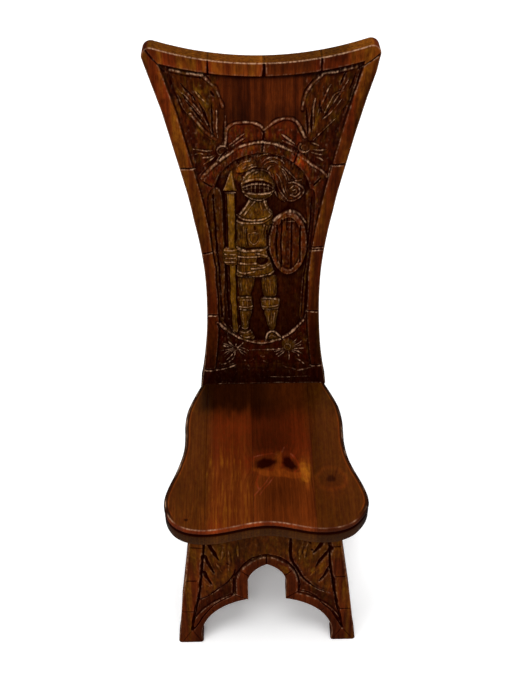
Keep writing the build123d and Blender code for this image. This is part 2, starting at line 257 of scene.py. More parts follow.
@dataclass
class Relief:
    """Heights over a board's face, in mm, and how its finish varies from place to place, painted light and
    shade included.
    """

    x: Array
    v: Array
    height: Array = field(init=False)
    finish: dict[str, Array] = field(init=False)
    waver: float = 0.9
    cut_x: Array = field(init=False)
    cut_v: Array = field(init=False)
    press: Array = field(init=False)

    def __post_init__(self) -> None:
        """Start from flat, evenly finished wood, and let the carver's hand waver a little."""
        self.height = np.zeros_like(self.x)
        self.finish = {name: np.zeros_like(self.x) for name in FINISH_FIELDS}
        self.cut_x = self.x + self.waver * self.noise((16.0, 16.0), 1)
        self.cut_v = self.v + self.waver * self.noise((16.0, 16.0), 2)
        self.press = self.noise((8.0, 11.0), 3)

    def noise(self, cell: tuple[float, float], seed: int) -> Array:
        """Spread a smooth random field from -1 to 1 over the face."""
        return value_noise(self.x, self.v, cell, seed)

    def near(self, line: Array, reach: float) -> Array:
        """Find the points in a polyline's box, grown by a reach.

        Args:
            line: (n, 2) polyline.
            reach: how much the box is grown on each side.

        Returns:
            The points' numbers.
        """
        low, high = line.min(0) - reach, line.max(0) + reach
        across = (self.x > low[0]) & (self.x < high[0])
        return np.nonzero(across & (self.v > low[1]) & (self.v < high[1]))[0]

    def stroke(
        self,
        points: Array,
        width: float,
        rise: float,
        taper: Taper = Taper.EVEN,
        moat: float = 0.0,
        **finish: float,
    ) -> None:
        """Add a round-backed ridge, or cut a gouged groove, along a smooth line.

        At a distance d from the line the face rises by rise * (1 - (d / half width)^2), and a moat
        is cut beside the ridge in the same way, 1.45 half widths from the line.

        Args:
            points: points of the line.
            width: full width in mm.
            rise: height of its back, negative for a groove.
            taper: how the width runs along it.
            moat: depth of the cut on both sides of it.
            finish: finish fields that it carries, with their amounts.
        """
        line = smooth_line(points) if len(points) > 2 else points
        rows = self.near(line, 1.2 * width)
        if not len(rows):
            return
        gap, share = to_line(self.cut_x[rows], self.cut_v[rows], line)
        half = np.maximum(width / 2 * taper.width(share) * (1 + 0.3 * self.press[rows]), 0.3)
        bell = np.clip(1 - (gap / half) ** 2, 0, 1)
        self.height[rows] += rise * (1 + 0.35 * self.press[rows]) * bell
        beside = np.clip(1 - ((gap / half - 1.45) / 0.6) ** 2, 0, 1)
        self.height[rows] -= 0.65 * moat * (1 + self.press[rows]) * beside
        for name, amount in finish.items():
            layer = self.finish[name]
            cover = bell**2 if name == "wear" else np.clip(1.5 * bell, 0, 1)
            layer[rows] += (amount - layer[rows]) * cover

    def strokes(self, texts: str, width: float, rise: float, **rest: float | Taper) -> None:
        """Lay one kind of stroke along each of several lines, parted by semicolons."""
        for text in texts.split(";"):
            self.stroke(path(text), width, rise, **rest)

    def depth_in(self, rows: Array, loop: Array) -> Array:
        """Measure how far points lie inside a loop, negative outside."""
        gap, _ = to_line(self.cut_x[rows], self.cut_v[rows], loop)
        return np.where(is_inside(self.cut_x[rows], self.cut_v[rows], loop), gap, -gap)

    def level(
        self,
        loop: Array,
        height: float,
        slope: float = 1.5,
        crown: float = 0.0,
        crown_width: float = 12.0,
        shade: float = 0.0,
        **finish: float,
    ) -> None:
        """Bring an area to a height, with a sloped wall round it and a crowned face.

        The face stands at height + crown * (1 - (1 - d / crown_width)^2) at a depth d inside the
        area, and a smooth step as wide as the slope joins it to what is round it.

        Args:
            loop: closed polyline round the area.
            height: height of its face at the wall.
            slope: width of the wall.
            crown: how much higher its middle is.
            crown_width: depth at which the crown is full.
            shade: how much darker the wall is painted than the crown, as painted shade on the rounded form.
            finish: finish fields that the area carries, with their amounts.
        """
        rows = self.near(loop, slope + 1)
        if not len(rows):
            return
        depth = self.depth_in(rows, loop)
        cover = ease_in(depth / slope + 0.5)
        round_up = 1 - (1 - np.clip(depth / crown_width, 0, 1)) ** 2
        self.height[rows] += cover * (height + crown * round_up - self.height[rows])
        # Painted shade: the tone falls from the crown towards the wall.
        self.finish["tone"][rows] -= cover * shade * (1 - round_up)
        self.lay(rows, cover, finish)

    def lay(self, rows: Array, cover: Array, finish: dict[str, float]) -> None:
        """Bring finish fields towards their amounts.

        Args:
            rows: numbers of the points.
            cover: how far each point is brought, from 0 to 1.
            finish: the fields and their amounts.
        """
        for name, amount in finish.items():
            layer = self.finish[name]
            layer[rows] += cover * (amount - layer[rows])

    def areas(self, texts: str, height: float, slope: float, **rest: float) -> None:
        """Bring each of several smooth areas, parted by semicolons, to one height."""
        for text in texts.split(";"):
            self.level(smooth_line(path(text), closed=True), height, slope, **rest)

    def paint(self, texts: str, slope: float, **finish: float) -> None:
        """Change only the finish of straight-sided areas.

        Args:
            texts: closed loops, parted by semicolons.
            slope: width of their soft borders.
            finish: finish fields that they carry, with their amounts.
        """
        for text in texts.split(";"):
            loop = path(text)
            rows = self.near(loop, slope + 1)
            self.lay(rows, ease_in(self.depth_in(rows, loop) / slope + 0.5), finish)

    def tool_marks(self, where: Array | float, cell: tuple[float, float], depth: float, seed: int) -> None:
        """Leave shallow gouge marks over the places where a share is above 0."""
        self.height += where * depth * self.noise(cell, seed)

    def mottle(self, where: Array, dark: float, seed: int, size: float = 1.0) -> None:
        """Blotch worked wood, where stain and rub took unevenly, with dark, gold and red patches, and
        fleck it with pale specks of wear and painted highlight.

        Args:
            where: share of the blotches at each point.
            dark: how much darker the wood gets overall.
            seed: first seed of the patches.
            size: of the patches, where 1 is usual.
        """
        small, large = (self.noise((cell * size, 2.4 * cell * size), seed + cell) for cell in (2, 7))
        # Pale specks: flecks of wear and painted highlight sparkle.
        highlight_specks = np.clip(self.noise((2.4, 4.5), seed + 1) - 0.36, 0, 1)
        self.height += where * 0.2 * self.noise((2.2, 4.0), seed)
        self.finish["tone"] += where * (0.68 * small + 0.5 * large - dark)
        self.finish["wear"] += 0.55 * np.clip(where, 0, 1) ** 2 * highlight_specks
        for name, cell, amount in (("gilt", 4, 0.55), ("rust", 8, 0.5), ("glaze", 3, 0.4)):
            patch = np.clip(self.noise((cell * size, 2.6 * cell * size), seed + cell) - 0.1, 0, 1)
            self.finish[name] += where * amount * patch

    def settle_finish(self, shape: tuple[int, int], keen: float = 1.0) -> None:
        """Let dark glaze and painted shade lie in the hollows, and let edges wear pale with painted
        highlights.

        The height is compared with its mean over a few cells and over many: what stands above both
        wears and takes a painted highlight, and what lies below them holds glaze and painted shade. Slopes
        that face up take the most painted highlight, as if lit from above, and slopes that face down the most
        painted shade. The tone is painted lighter where the face stands high and darker in its hollows.
        The climb dh/dv comes from the grid's steps i and j as (h_i x_j - h_j x_i) / (v_i x_j - v_j x_i).

        Args:
            shape: rows and columns of the face's grid.
            keen: strength of both.
        """
        face = self.height.reshape(shape)
        fine = (face - box_mean(face, 2)).ravel()
        broad = (face - box_mean(face, 7)).ravel()
        grids = (self.height, self.x, self.v)
        (h_i, h_j), (x_i, x_j), (v_i, v_j) = (np.gradient(grid.reshape(shape)) for grid in grids)
        climb = ((h_i * x_j - h_j * x_i) / (v_i * x_j - v_j * x_i)).ravel()
        patchy = np.clip(0.8 + 1.1 * self.noise((3.0, 3.0), 5), 0.1, 1.6)
        raised = np.clip(fine * 1.4 + broad * 0.15 - 0.3, 0, 0.5)
        # Glaze in the hollows, heavier on slopes that face down: glaze with painted shade.
        sunk_and_shaded = np.clip(-fine * 1.7 - broad * 0.65 - 0.14, 0, 0.88) * np.clip(0.85 + 0.5 * climb, 0.45, 1.2)
        sunk_and_shaded *= np.clip(0.8 + 0.9 * self.noise((6.0, 9.0), 6), 0.25, 1.2)
        # Wear on raised places is kept most on slopes that face up, as a painted highlight lit from above.
        highlight_share = np.clip(0.5 - 0.9 * climb, 0.12, 1.1) * patchy
        self.finish["wear"] = np.clip((self.finish["wear"] + keen * raised) * highlight_share, 0, 1)
        self.finish["glaze"] = np.clip(self.finish["glaze"] + keen * sunk_and_shaded, 0, 1)
        # Painted light and shade: the tone is lifted where the face stands high and lowered in its hollows.
        self.finish["tone"] += keen * np.clip(0.9 * broad + 0.35 * fine, -0.9, 0.5)


def box_mean(face: Array, reach: int) -> Array:
    """Average a grid over a square of 2 * reach + 1 cells, twice, with running sums.

    Args:
        face: the grid.
        reach: cells on each side of the middle one.

    Returns:
        The averaged grid.
    """
    size = 2 * reach + 1
    for _ in range(2):
        for axis in (0, 1):
            pad = [(0, 0), (0, 0)]
            pad[axis] = (reach + 1, reach)
            total = np.cumsum(np.pad(face, pad, mode="edge"), axis=axis)
            ahead, behind = (np.take(total, range(a, a + face.shape[axis]), axis=axis) for a in (size, 0))
            face = (ahead - behind) / size
    return face


# ------------------------------------------------------------------ closed boards
@dataclass(frozen=True)
class BoardPlane:
    """The plane of a board's outer face: where it stands, how it leans and which way it faces."""

    y: float
    z: float
    lean: float
    faces_front: bool = True

    def place(self, x: Array, v: Array, height: Array) -> Array:
        """Turn board millimetres into the frame's metres.

        Y is y + v sin(lean) - height cos(lean) and Z is z + v cos(lean) + height sin(lean); a
        board that faces the rear has X and the way of Y turned round.

        Args:
            x: places across.
            v: places up along the board.
            height: places out of its face.

        Returns:
            The points, with a last axis of 3.
        """
        turn = 1.0 if self.faces_front else -1.0
        lean = math.radians(self.lean)
        ahead = v * math.sin(lean) - height * math.cos(lean)
        up = self.z + v * math.cos(lean) + height * math.sin(lean)
        return np.stack((turn * x, self.y + turn * ahead, up), axis=-1) * MM

    def place_on_foot(self, x: Array, v: Array, height: Array) -> Array:
        """Place points with v less height tan(lean) near the foot, so that heights run level there."""
        fall = height * math.tan(math.radians(self.lean)) * ease_in(1 - v / LEVEL_FOOT)
        return self.place(x, v - fall, height)

    def grain(self) -> tuple[float, float, float]:
        """Give the turn that lays a material's Z along the board, in radians."""
        return (math.radians(self.lean if self.faces_front else -self.lean), 0.0, 0.0)


@dataclass
class Shell:
    """A closed mesh in the making: its points, its faces and its finish at each point."""

    points: Array
    quads: Array
    rest: list[list[int]]
    finish: dict[str, Array]

    def piece_between(
        self, name: str, low: float, high: float, extra: "Shell | None" = None
    ) -> bpy.types.Object:
        """Cut the shell between two upright planes and close the cuts.

        Args:
            name: the piece's name.
            low: X of its left cut, in metres.
            high: X of its right cut.
            extra: another closed shell that belongs to the piece.

        Returns:
            The piece's object.
        """
        across = self.points[:, 0]
        quad_x = across[self.quads]
        keep = (quad_x.max(1) > low - MARGIN) & (quad_x.min(1) < high + MARGIN)
        rest = [f for f in self.rest if across[f].max() > low - MARGIN and across[f].min() < high + MARGIN]
        used = np.zeros(len(self.points), bool)
        used[self.quads[keep].ravel()] = True
        used[[i for f in rest for i in f]] = True
        index = np.cumsum(used) - 1
        faces = index[self.quads[keep]].tolist() + [index[f].tolist() for f in rest]
        mesh = bpy.data.meshes.new(name)
        mesh.from_pydata(self.points[used].tolist(), [], faces)
        for field_name, layer in self.finish.items():
            stored = mesh.attributes.new(field_name, "FLOAT", "POINT")
            stored.data.foreach_set("value", layer[used].astype(np.float32))
        cut = bmesh.new()
        cut.from_mesh(mesh)
        for face in cut.faces:
            face.smooth = True
        for place, outward in ((low, -1), (high, 1)):
            if across[used].min() < place < across[used].max():
                slice_off(cut, (place, 0, 0), (outward, 0, 0))
        if extra is not None:
            made = [cut.verts.new(p) for p in extra.points.tolist()]
            for loop in extra.rest:
                cut.faces.new([made[i] for i in loop]).smooth = False
        cut.to_mesh(mesh)
        cut.free()
        return link_piece(name, mesh)


def slice_off(work: bmesh.types.BMesh, place: tuple, outward: tuple) -> list[bmesh.types.BMFace]:
    """Cut off what lies past a plane, and cap the cut with flat faces.

    Args:
        work: the mesh, which is changed.
        place: a point of the plane.
        outward: the way to what is cut off.

    Returns:
        The caps, which face outward.
    """
    parts = work.verts[:] + work.edges[:] + work.faces[:]
    found = bmesh.ops.bisect_plane(
        work, geom=parts, dist=SAME_PLACE, plane_co=place, plane_no=outward, clear_outer=True
    )
    rim = [e for e in found["geom_cut"] if isinstance(e, bmesh.types.BMEdge) and e.is_boundary]
    caps = bmesh.ops.edgenet_fill(work, edges=rim)["faces"]
    for cap in caps:
        cap.smooth = False
        cap.normal_update()
        if cap.normal.dot(Vector(outward)) < 0:
            cap.normal_flip()
    return caps


def link_piece(name: str, mesh: bpy.types.Mesh) -> bpy.types.Object:
    """Put a finished mesh into the scene, at the origin.

    Args:
        name: the object's name.
        mesh: its mesh.

    Returns:
        The object.
    """
    piece = bpy.data.objects.new(name, mesh)
    bpy.context.scene.collection.objects.link(piece)
    return piece


def rim_order(rows: int, cols: int) -> tuple[Array, Array]:
    """Return the row and column numbers of a grid's rim, anticlockwise from its first corner."""
    grid = np.arange(rows * cols).reshape(rows, cols)
    return np.divmod(np.concatenate((grid[0, :-1], grid[:-1, -1], grid[-1, :0:-1], grid[:0:-1, 0])), cols)


def coons(front: Array, right: Array, rear: Array, left: Array) -> Array:
    """Fill four border lines with a Coons patch.

    A point is the sum of the two rulings, between front and rear and between left and right, less
    the patch that the four corners alone would give.

    Args:
        front: (cols, 2) line of row 0, from left to right.
        right: (rows, 2) line of the last column.
        rear: (cols, 2) line of the last row.
        left: (rows, 2) line of column 0.

    Returns:
        A (rows, cols, 2) grid.
    """
    s = np.linspace(0, 1, len(front))[None, :, None]
    t = np.linspace(0, 1, len(left))[:, None, None]
    ruled = (1 - t) * front[None] + t * rear[None] + (1 - s) * left[:, None] + s * right[:, None]
    corners = (1 - t) * ((1 - s) * front[0] + s * front[-1]) + t * ((1 - s) * rear[0] + s * rear[-1])
    return ruled - corners


def close_board(
    face: Array, skirts: list[Array], back: Array, finish: dict[str, Array], skirt_wear: Array
) -> Shell:
    """Close a carved face with rings of side wall and a coarser back.

    Args:
        face: (rows, cols, 3) points of the face, anticlockwise seen from outside.
        skirts: rings of points round the rim, from the face backwards.
        back: (rows, cols, 3) points of the back, of which only each BACK_STEP-th is used.
        finish: finish fields over the face, flattened.
        skirt_wear: wear and painted highlight of each ring.

    Returns:
        The closed shell.
    """
    rows, cols, step = *face.shape[:2], BACK_STEP
    grid = np.arange(rows * cols).reshape(rows, cols)
    quads = [np.stack((grid[:-1, :-1], grid[:-1, 1:], grid[1:, 1:], grid[1:, :-1]), -1).reshape(-1, 4)]
    i, j = rim_order(rows, cols)
    rim = grid[i, j]
    points = [face.reshape(-1, 3)]
    layers = {name: [finish[name].ravel()] for name in FINISH_FIELDS}
    count = rows * cols
    for ring, wear in zip(skirts, skirt_wear):
        new = np.arange(count, count + len(rim))
        quads.append(np.stack((rim, new, np.roll(new, -1), np.roll(rim, -1)), -1))
        points.append(ring)
        for name in FINISH_FIELDS:
            side = finish[name].reshape(rows, cols)[i, j] * (name in ("tone", "shift"))
            layers[name].append(np.full(len(rim), wear) if name == "wear" else side)
        rim, count = new, count + len(rim)
    coarse = np.full((rows, cols), -1)
    inner = np.ix_(np.arange(step, rows - 1, step), np.arange(step, cols - 1, step))
    amount = coarse[inner].size
    coarse[inner] = np.arange(count, count + amount).reshape(coarse[inner].shape)
    coarse[i, j] = rim
    points.append(back[inner].reshape(-1, 3))
    for name in FINISH_FIELDS:
        layers[name].append(np.full(amount, 0.0))
    a, b = np.meshgrid(np.arange(0, rows - 1, step), np.arange(0, cols - 1, step), indexing="ij")
    inside = (a > 0) & (b > 0) & (a < rows - 1 - step) & (b < cols - 1 - step)
    low, near = a[inside], b[inside]
    high, far = low + step, near + step
    quads.append(np.stack((coarse[low, near], coarse[high, near], coarse[high, far], coarse[low, far]), -1))
    rest = []
    for low, near in zip(a[~inside].tolist(), b[~inside].tolist()):
        high, far = low + step, near + step
        there = np.concatenate((coarse[low:high, near], coarse[high, near:far]))
        home = np.concatenate((coarse[high:low:-1, far], coarse[low, far:near:-1]))
        rest.append([k for k in (*there.tolist(), *home.tolist()) if k >= 0])
    merged = {name: np.concatenate(layer) for name, layer in layers.items()}
    return Shell(np.vstack(points), np.vstack(quads), rest, merged)


def round_arris(ease: float, thickness: float) -> tuple[Array, Array]:
    """Give the profile of a board's side, from its face to its back, with both arrises rounded.

    An arris at an angle a has an inset of ease * (1 - sin a) and a depth of ease * (1 - cos a).

    Args:
        ease: radius of the arrises.
        thickness: of the board.

    Returns:
        The insets from the outline, and the depths below the face.
    """
    turn = np.linspace(0, np.pi / 2, ARRIS_RINGS + 1)
    inset, depth = ease * (1 - np.sin(turn)), ease * (1 - np.cos(turn))
    return np.concatenate((inset[1:], inset[::-1])), np.concatenate((depth[1:], thickness - depth[::-1]))


def tenon_shell(node: str, lean: float) -> Shell | None:
    """Take the tenons of a back stave from its frame node, below the seat's top.

    The node's copy is merged, cut level and capped, and the cap is raised along the tenon into
    the board.

    Args:
        node: name of the frame node.
        lean: lean of the board, in degrees.

    Returns:
        The tenons as one shell, or nothing where the stave has none.
    """
    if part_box(node)[0].z > TENON_CUT:
        return None
    work = bmesh.new()
    work.from_mesh(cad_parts[node].data)
    bmesh.ops.remove_doubles(work, verts=work.verts[:], dist=1e-6)
    caps = slice_off(work, (0, 0, TENON_CUT), (0, 0, 1))
    for vert in {vert for cap in caps for vert in cap.verts}:
        vert.co.y += (TENON_RISE - vert.co.z) * math.tan(math.radians(lean))
        vert.co.z = TENON_RISE
    work.verts.index_update()
    points = np.array([vert.co[:] for vert in work.verts])
    faces = [[vert.index for vert in face.verts] for face in work.faces]
    work.free()
    return Shell(points, np.zeros((0, 4), int), faces, {})


# ------------------------------------------------------------------ glued boards
class GluedBoard:
    """A board of staves glued edge to edge, which is built whole and then cut along its seams."""

    title: str
    node_title: str
    slot: str
    seams: tuple[float, ...]
    names: tuple[str, ...]

    def shell(self) -> Shell:
        """Build the whole board, as each kind of board says."""
        raise NotImplementedError

    def tenons(self, node: str) -> Shell | None:
        """Give what a stave keeps below the board: nothing, unless a kind of board says so."""
        return None

    def build(self, wood: bpy.types.Material) -> None:
        """Make the board's staves, dress them, and let each ride on the chair for its frame node.

        Args:
            wood: their finish.
        """
        shell = self.shell()
        edges = (-PAST_BOARD, *self.seams, PAST_BOARD)
        for name, low, high in zip(self.names, edges[:-1], edges[1:]):
            node = f"{self.node_title}_{name}"
            piece = shell.piece_between(f"{self.title}_{name}", low * MM, high * MM, self.tenons(node))
            piece.data.materials.append(wood)
            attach(piece, "root")
            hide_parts(node)
            log.info("%s: %d faces, for %s", piece.name, len(piece.data.polygons), node)


class LeaningBoard(GluedBoard):
    """A board that leans, with rounded arrises and a foot that is cut level."""

    plane: BoardPlane
    thickness: float
    ease: float
    edge_wear: float
    back_rough: float
    back_seed: int

    def close(self, cut: Relief, face: Array, full: Array) -> Shell:
        """Close the board round its carved face.

        Args:
            cut: the carved face.
            face: (rows, cols, 2) grid of the face.
            full: the same grid spread to the board's full outline.

        Returns:
            The closed shell.
        """
        x, v = face[..., 0], face[..., 1]
        height = cut.height.reshape(x.shape)
        i, j = rim_order(*x.shape)
        inset, depth = round_arris(self.ease, self.thickness)
        rings = []
        for way_in, down in zip(inset, depth):
            line = full[i, j] + way_in / self.ease * (face[i, j] - full[i, j])
            level = height[i, j] * max(0.0, 1 - down / self.ease) - down
            rings.append(self.plane.place_on_foot(*line.T, level))
        # The rounded arris: wear with a painted highlight along it.
        wear = np.where((inset > 0) & (inset < self.ease), self.edge_wear, 0.0)
        behind = self.back_rough * value_noise(x, v, (30, 90), self.back_seed) - self.thickness
        front, back = (self.plane.place_on_foot(x, v, level) for level in (height, behind))
        return close_board(front, rings, back, cut.finish, wear)


# ------------------------------------------------------------------ back board
# The armour's finish: gilt, and painted shade at the walls of each rounded part.
ARMOUR = {"gilt": 0.55, "glaze": 0.0, "rust": 0.0, "shade": 1.3}


@dataclass
class BackCarving(Relief):
    """The back board's carved face: a border round leaves, an arch, and a knight in a niche."""

    edge: Array = field(kw_only=True)
    border: float = 20.5
    field_depth: float = 2.4
    niche_half: float = 77.0
    niche_top: float = 392.0
    niche_bottom: float = 177.0
    niche_depth: float = 5.3

    def carve(self) -> None:
        """Cut all of it in order, and stain it."""
        self.cut_ground()
        self.cut_joints()
        self.cut_leaves()
        self.cut_arch()
        self.cut_niche()
        self.cut_plume()
        self.cut_mail()
        self.cut_helmet()
        self.cut_skirt()
        self.cut_legs()
        self.cut_lance()
        self.cut_shield()
        self.cut_foot()
        self.stain()

    def cut_ground(self) -> None:
        """Lower the field inside the border, and round the border's face."""
        in_field = ease_in((self.edge - self.border) / 1.6 + 0.5)
        self.height -= 0.3 * np.clip((self.edge - 10) / 10, -1, 1) ** 2 * (1 - in_field)
        self.height -= self.field_depth * in_field
        groove = np.clip(1 - ((self.edge - 22.3) / 1.5) ** 2, 0, 1)
        self.height -= 0.4 * groove * (self.v > 25) * (1 + self.press)
        self.tool_marks(0.25 + 0.75 * in_field, (5.0, 24.0), 0.16, 11)
        self.tool_marks(1.0, (2.6, 60.0), 0.07, 12)

    def cut_joints(self) -> None:
        """Cut the grooves that part the border into blocks, and its mitres."""
        grooves = (
            "-78,597 -79,622; 88,597 88,622; -127,445 -103,445.5; -100,288.5 -77,291; -99,160.5 -78,160.5; "
            "-112,38 -90,36.5 -75,38 -60,43 -50,49; 104,449 131,448.5; 80,297 101,298; 79,292.5 101,292.5; "
            "75,166 99,166; 83,43.5 97,43.5 112,46"
        )
        self.strokes(grooves, 3.2, -1.7, glaze=0.9)
        self.strokes("3.5,594 3.5,616", 5.5, -2.4, glaze=1.0)
        # A pale line beside the top groove: wear with a painted highlight.
        self.strokes("7.2,598 7.2,613", 2.2, 0.25, wear=0.8)
        # Pale lines, mostly on the lower, up-facing wall of each groove: wear with a painted highlight, as if
        # lit from above.
        pale = (
            "-126,443 -103,443.6; -99,286 -79,289; -97,158 -79,158; -110,35 -90,33.5 -75,35 -60,40 -50,46; "
            "107,446.5 128,446; 82,290 99,290; 83,295 99,295.2; 77,163.5 97,163.5; 85,41 97,41 109,43.5; "
            "75.5,163 75.5,216; 107,446 105,436 104,424"
        )
        self.strokes(pale, 2.4, 0.35, wear=0.85)
        mitres = "-168,638 -158,623 -142,603; 174,627 160,616 144,603"
        self.strokes(mitres, 3.4, -1.4, glaze=0.9)
        # Pale lines beside the mitres: wear with a painted highlight.
        self.strokes("-164,634 -155,620 -139,601; 171,623 158,613 142,601", 2.4, 0.4, wear=0.7)

    def cut_leaves(self) -> None:
        """Carve the two corner leaves, and the two scallops over the arch."""
        spandrels = (
            "-136,600 -132,575 -121,545 -110,500 -104,455 -100,432 -88,444 -60,472 -58,520 -60,560 -78,588 "
            "-90,600; 143,600 137,570 126,540 115,500 108,455 101,432 90,444 60,472 62,520 60,560 76,588 "
            "90,600"
        )
        self.areas(spandrels, -3.3, 2.5, glaze=0.18)
        self.tool_marks(ease_in((self.v - 432) / 8) * ease_in((np.abs(self.x) - 56) / 8), (4.5, 9.0), 0.3, 21)
        leaves = (
            "-133,603 -110,601 -89,597 -78,587 -70,576 -61,560 -57,545 -56,520 -58,495 -68,487 -75,494 "
            "-84,503 -93,514 -104,526 -118,548 -129,574; 88,597 108,599 142,605 141,583 134,563 127,548 "
            "111,527 100,514 88,501 74,489 64,505 60,530 61,548 66,560 72,572 80,585"
        )
        self.areas(leaves, -2.5, 2.2, crown=1.1, crown_width=16, shade=0.3, gilt=0.1, rust=0.15)
        patches = (
            "-127,581 -117,571 -112,563 -119,561 -127,572 -127,581; -104,585 -92,574 -81,554 -77,546 "
            "-84,545 -93,560 -104,585; -96,521 -88,512 -90,500 -98,508 -96,521; 84,545 79,520 77,505 "
            "82,505 86,530 84,545; 126,548 113,530 104,520 112,520 126,548; 108,566 99,552 92,538 98,535 "
            "106,552 108,566"
        )
        self.paint(patches, 4.0, gilt=0.55, rust=0.3, glaze=0.0)
        outer_ridges = (
            "-87,596 -78,587 -68,574 -62,558 -58,546; 90,595 77,582 68,570 63,557 61,541; -133,604 "
            "-111,600 -87,596; 92,596 112,599 139,605; -107,535 -98,522 -86,506 -71,494"
        )
        self.strokes(outer_ridges, 4.8, 1.2, moat=0.7, wear=0.5)
        veins = (
            "-126,578 -120,571 -113,566 -102,552 -90,534 -81,516 -74,502; -113,560 -102,546 -92,533; "
            "-55,534 -55,516 -55,502; -67,545 -68,521 -67,496; -125,567 -117,546 -110,535; -100,577 "
            "-93,565 -82,553; 130,589 123,577 114,561 102,543 90,527; 122,570 109,564 100,548 93,532; "
            "119,556 110,543 100,532 88,523; 112,525 98,511 78,489; 103,580 94,561 87,543 83,530; 145,602 "
            "141,587 136,571 131,552; 80,560 77,535 79,512"
        )
        self.strokes(veins, 3.1, 1.1, taper=Taper.BOTH, moat=0.55, wear=0.45)
        gouges = (
            "-119,585 -113,576 -103,566 -97,556; -117,570 -109,555 -102,543; -93,554 -85,535 -78,508; "
            "-74,552 -75,527 -74,501; -104,548 -96,534 -88,521; -76,572 -70,562; 87,556 87,545 90,535; "
            "76,541 75,522 76,503; 67,543 69,519 71,497; 124,598 121,592 116,579; 139,597 136,586 131,572; "
            "108,552 98,536 90,524"
        )
        self.strokes(gouges, 4.0, -1.6, taper=Taper.BOTH, glaze=0.8)
        self.areas(
            "-56,490 -54,506 -47,516 -35,521 -18,521 -5,516 2,509 1,492 -20,488 -38,483; 4,506 10,514 "
            "22,522 38,526 50,524 58,512 66,494 52,480 36,484 8,491",
            -2.6, 2.0, crown=0.9, crown_width=9, rust=0.25,
        )
        scallops = (
            "-57,483 -55,497 -53,508 -47,516 -35,521 -18,521 -5,516 3,508; 3,507 11,515 22,522 38,526 "
            "48,524 55,517 61,506 67,494"
        )
        self.strokes(scallops, 4.6, 1.1, moat=0.9, wear=0.7)
        self.strokes(
            "-53,482 -40,492 -25,504; -46,482 -25,496; 51,484 40,492 28,501; 53,479 40,486 30,490",
            3.4, 0.9, moat=0.8, taper=Taper.BOTH, wear=0.6,
        )
        self.strokes("3,510 3,500 2,491", 3.4, -1.4, glaze=0.8)
        sprays = (
            "-106,478 -93,475 -84,474 -75,475; -93,462 -80,463 -73,467; -91,450 -80,458 -71,466; -104,468 "
            "-96,470 -88,467; 75,475 90,472 101,473; 76,470 87,466 95,465; 83,462 90,459 97,454; 75,486 "
            "84,482 89,479"
        )
        self.strokes(sprays, 2.8, 0.9, moat=0.5, taper=Taper.BOTH, wear=0.55, gilt=0.2)
        turn = np.linspace(0.3, 2 * np.pi - 0.4, 16)
        for x, v, radius, start, end, wear in ((-61, 474, 8.0, 0, 12, 0.7), (66, 478, 8.6, 5, 16, 0.3)):
            ring = ellipse((x, v), radius, turn + 0.2)
            self.level(np.vstack((ring, ring[:1])), -3.4, 2.4, crown=0.5, crown_width=6, glaze=0.25, gilt=0.1)
            self.stroke(ring[start:end], 3.6, 1.3, moat=0.6, taper=Taper.END, wear=wear)
            self.stroke(0.5 * (ring[2:9] - (x, v)) + (x, v), 2.4, 0.6, wear=0.25)

    def cut_arch(self) -> None:
        """Raise the ring of reddish blocks round the niche's head."""
        turn = np.linspace(np.radians(16), np.radians(164), 40)
        arms = [ellipse((0, self.niche_top), self.niche_half + wider, turn) for wider in (0.5, 19.5)]
        loop = np.vstack((arms[0], arms[1][::-1], arms[0][:1]))
        block = {"rust": 0.3, "gilt": 0.05, "glaze": 0.12, "wear": 0.0}
        self.level(loop, -1.6, 1.8, crown=0.7, crown_width=8, shade=0.5, **block)
        outer = "-94,426 -91,431 -77,447 -57,464 -37,479 -18,485 -3,488 20,484 36,478 50,470"
        self.strokes(outer, 4.2, 0.75, moat=0.7, wear=0.75, gilt=0.2)
        self.strokes("52,468 71,454 95,436 102,426", 4.0, 0.6, moat=0.7, wear=0.6)
        ring = ease_in((self.height + 2.4) / 0.6) * is_inside(self.x, self.v, loop)
        self.mottle(ring, 0.45, 120, 1.3)
        joints = "-66,460 -56,473; 49,452 57,472; 1,472 3,488; -92,420 -80,412; 92,424 82,412"
        self.strokes(joints, 3.4, -1.6, glaze=0.9)
        # Pale lines beside the joints: wear with a painted highlight.
        self.strokes("52,450 60,469; -69,458 -60,471; 3.5,473 6,487", 2.2, 0.4, wear=0.7)

    def cut_niche(self) -> None:
        """Sink the round-headed niche that holds the knight, and leave the strips of its jambs."""
        head = ellipse((0, self.niche_top), self.niche_half, np.linspace(0, np.pi, 40))
        foot = ellipse((0, self.niche_bottom), self.niche_half, np.linspace(np.pi, 2 * np.pi, 40))
        loop = np.vstack((head, foot, head[:1]))
        self.level(loop, -self.niche_depth, 3.0, rust=0.0, gilt=0.06, glaze=0.42, wear=0.0)
        deep = ease_in((-3.5 - self.height) / 1.2)
        head_lit = deep * ease_in((self.v - 405) / 30)
        self.finish["glaze"] -= head_lit * 0.38
        self.height += 0.9 * head_lit * (1 + self.noise((7.0, 7.0), 33))
        self.mottle(head_lit, -0.45, 140, 1.2)
        self.tool_marks(deep, (6.0, 11.0), 0.45, 31)
        self.tool_marks(deep, (2.6, 4.5), 0.18, 32)
        jamb = "-86,398 -66,404 -64,330 -63,262 -66,205 -68,150 -76,146 -78,205 -80,262 -86,330"
        self.areas(jamb, -3.4, 1.8, crown=0.5, crown_width=6, shade=0.3, glaze=0.35, gilt=0.2)
        grooves = (
            "-78,396 -76,330 -73,262 -72,205 -71,155; -61,402 -60.5,340 -60.5,300; -61,262 -60,205 -59,150"
        )
        self.strokes(grooves, 4.2, -1.8, glaze=0.9)
        self.strokes("-83,395 -81,330 -77,262; -69,398 -68,330 -67,270", 3.2, 0.4, rust=0.1)
        right = "70,396 84,398 83,330 77,262 73,205 72,150 65,150 66,205 70,262 74,330"
        self.areas(right, -4.1, 2.2, crown=0.5, crown_width=6, glaze=0.2)
        self.strokes("79,390 77,330 72,262 69,205 68,160", 3.0, -1.0, glaze=0.8)

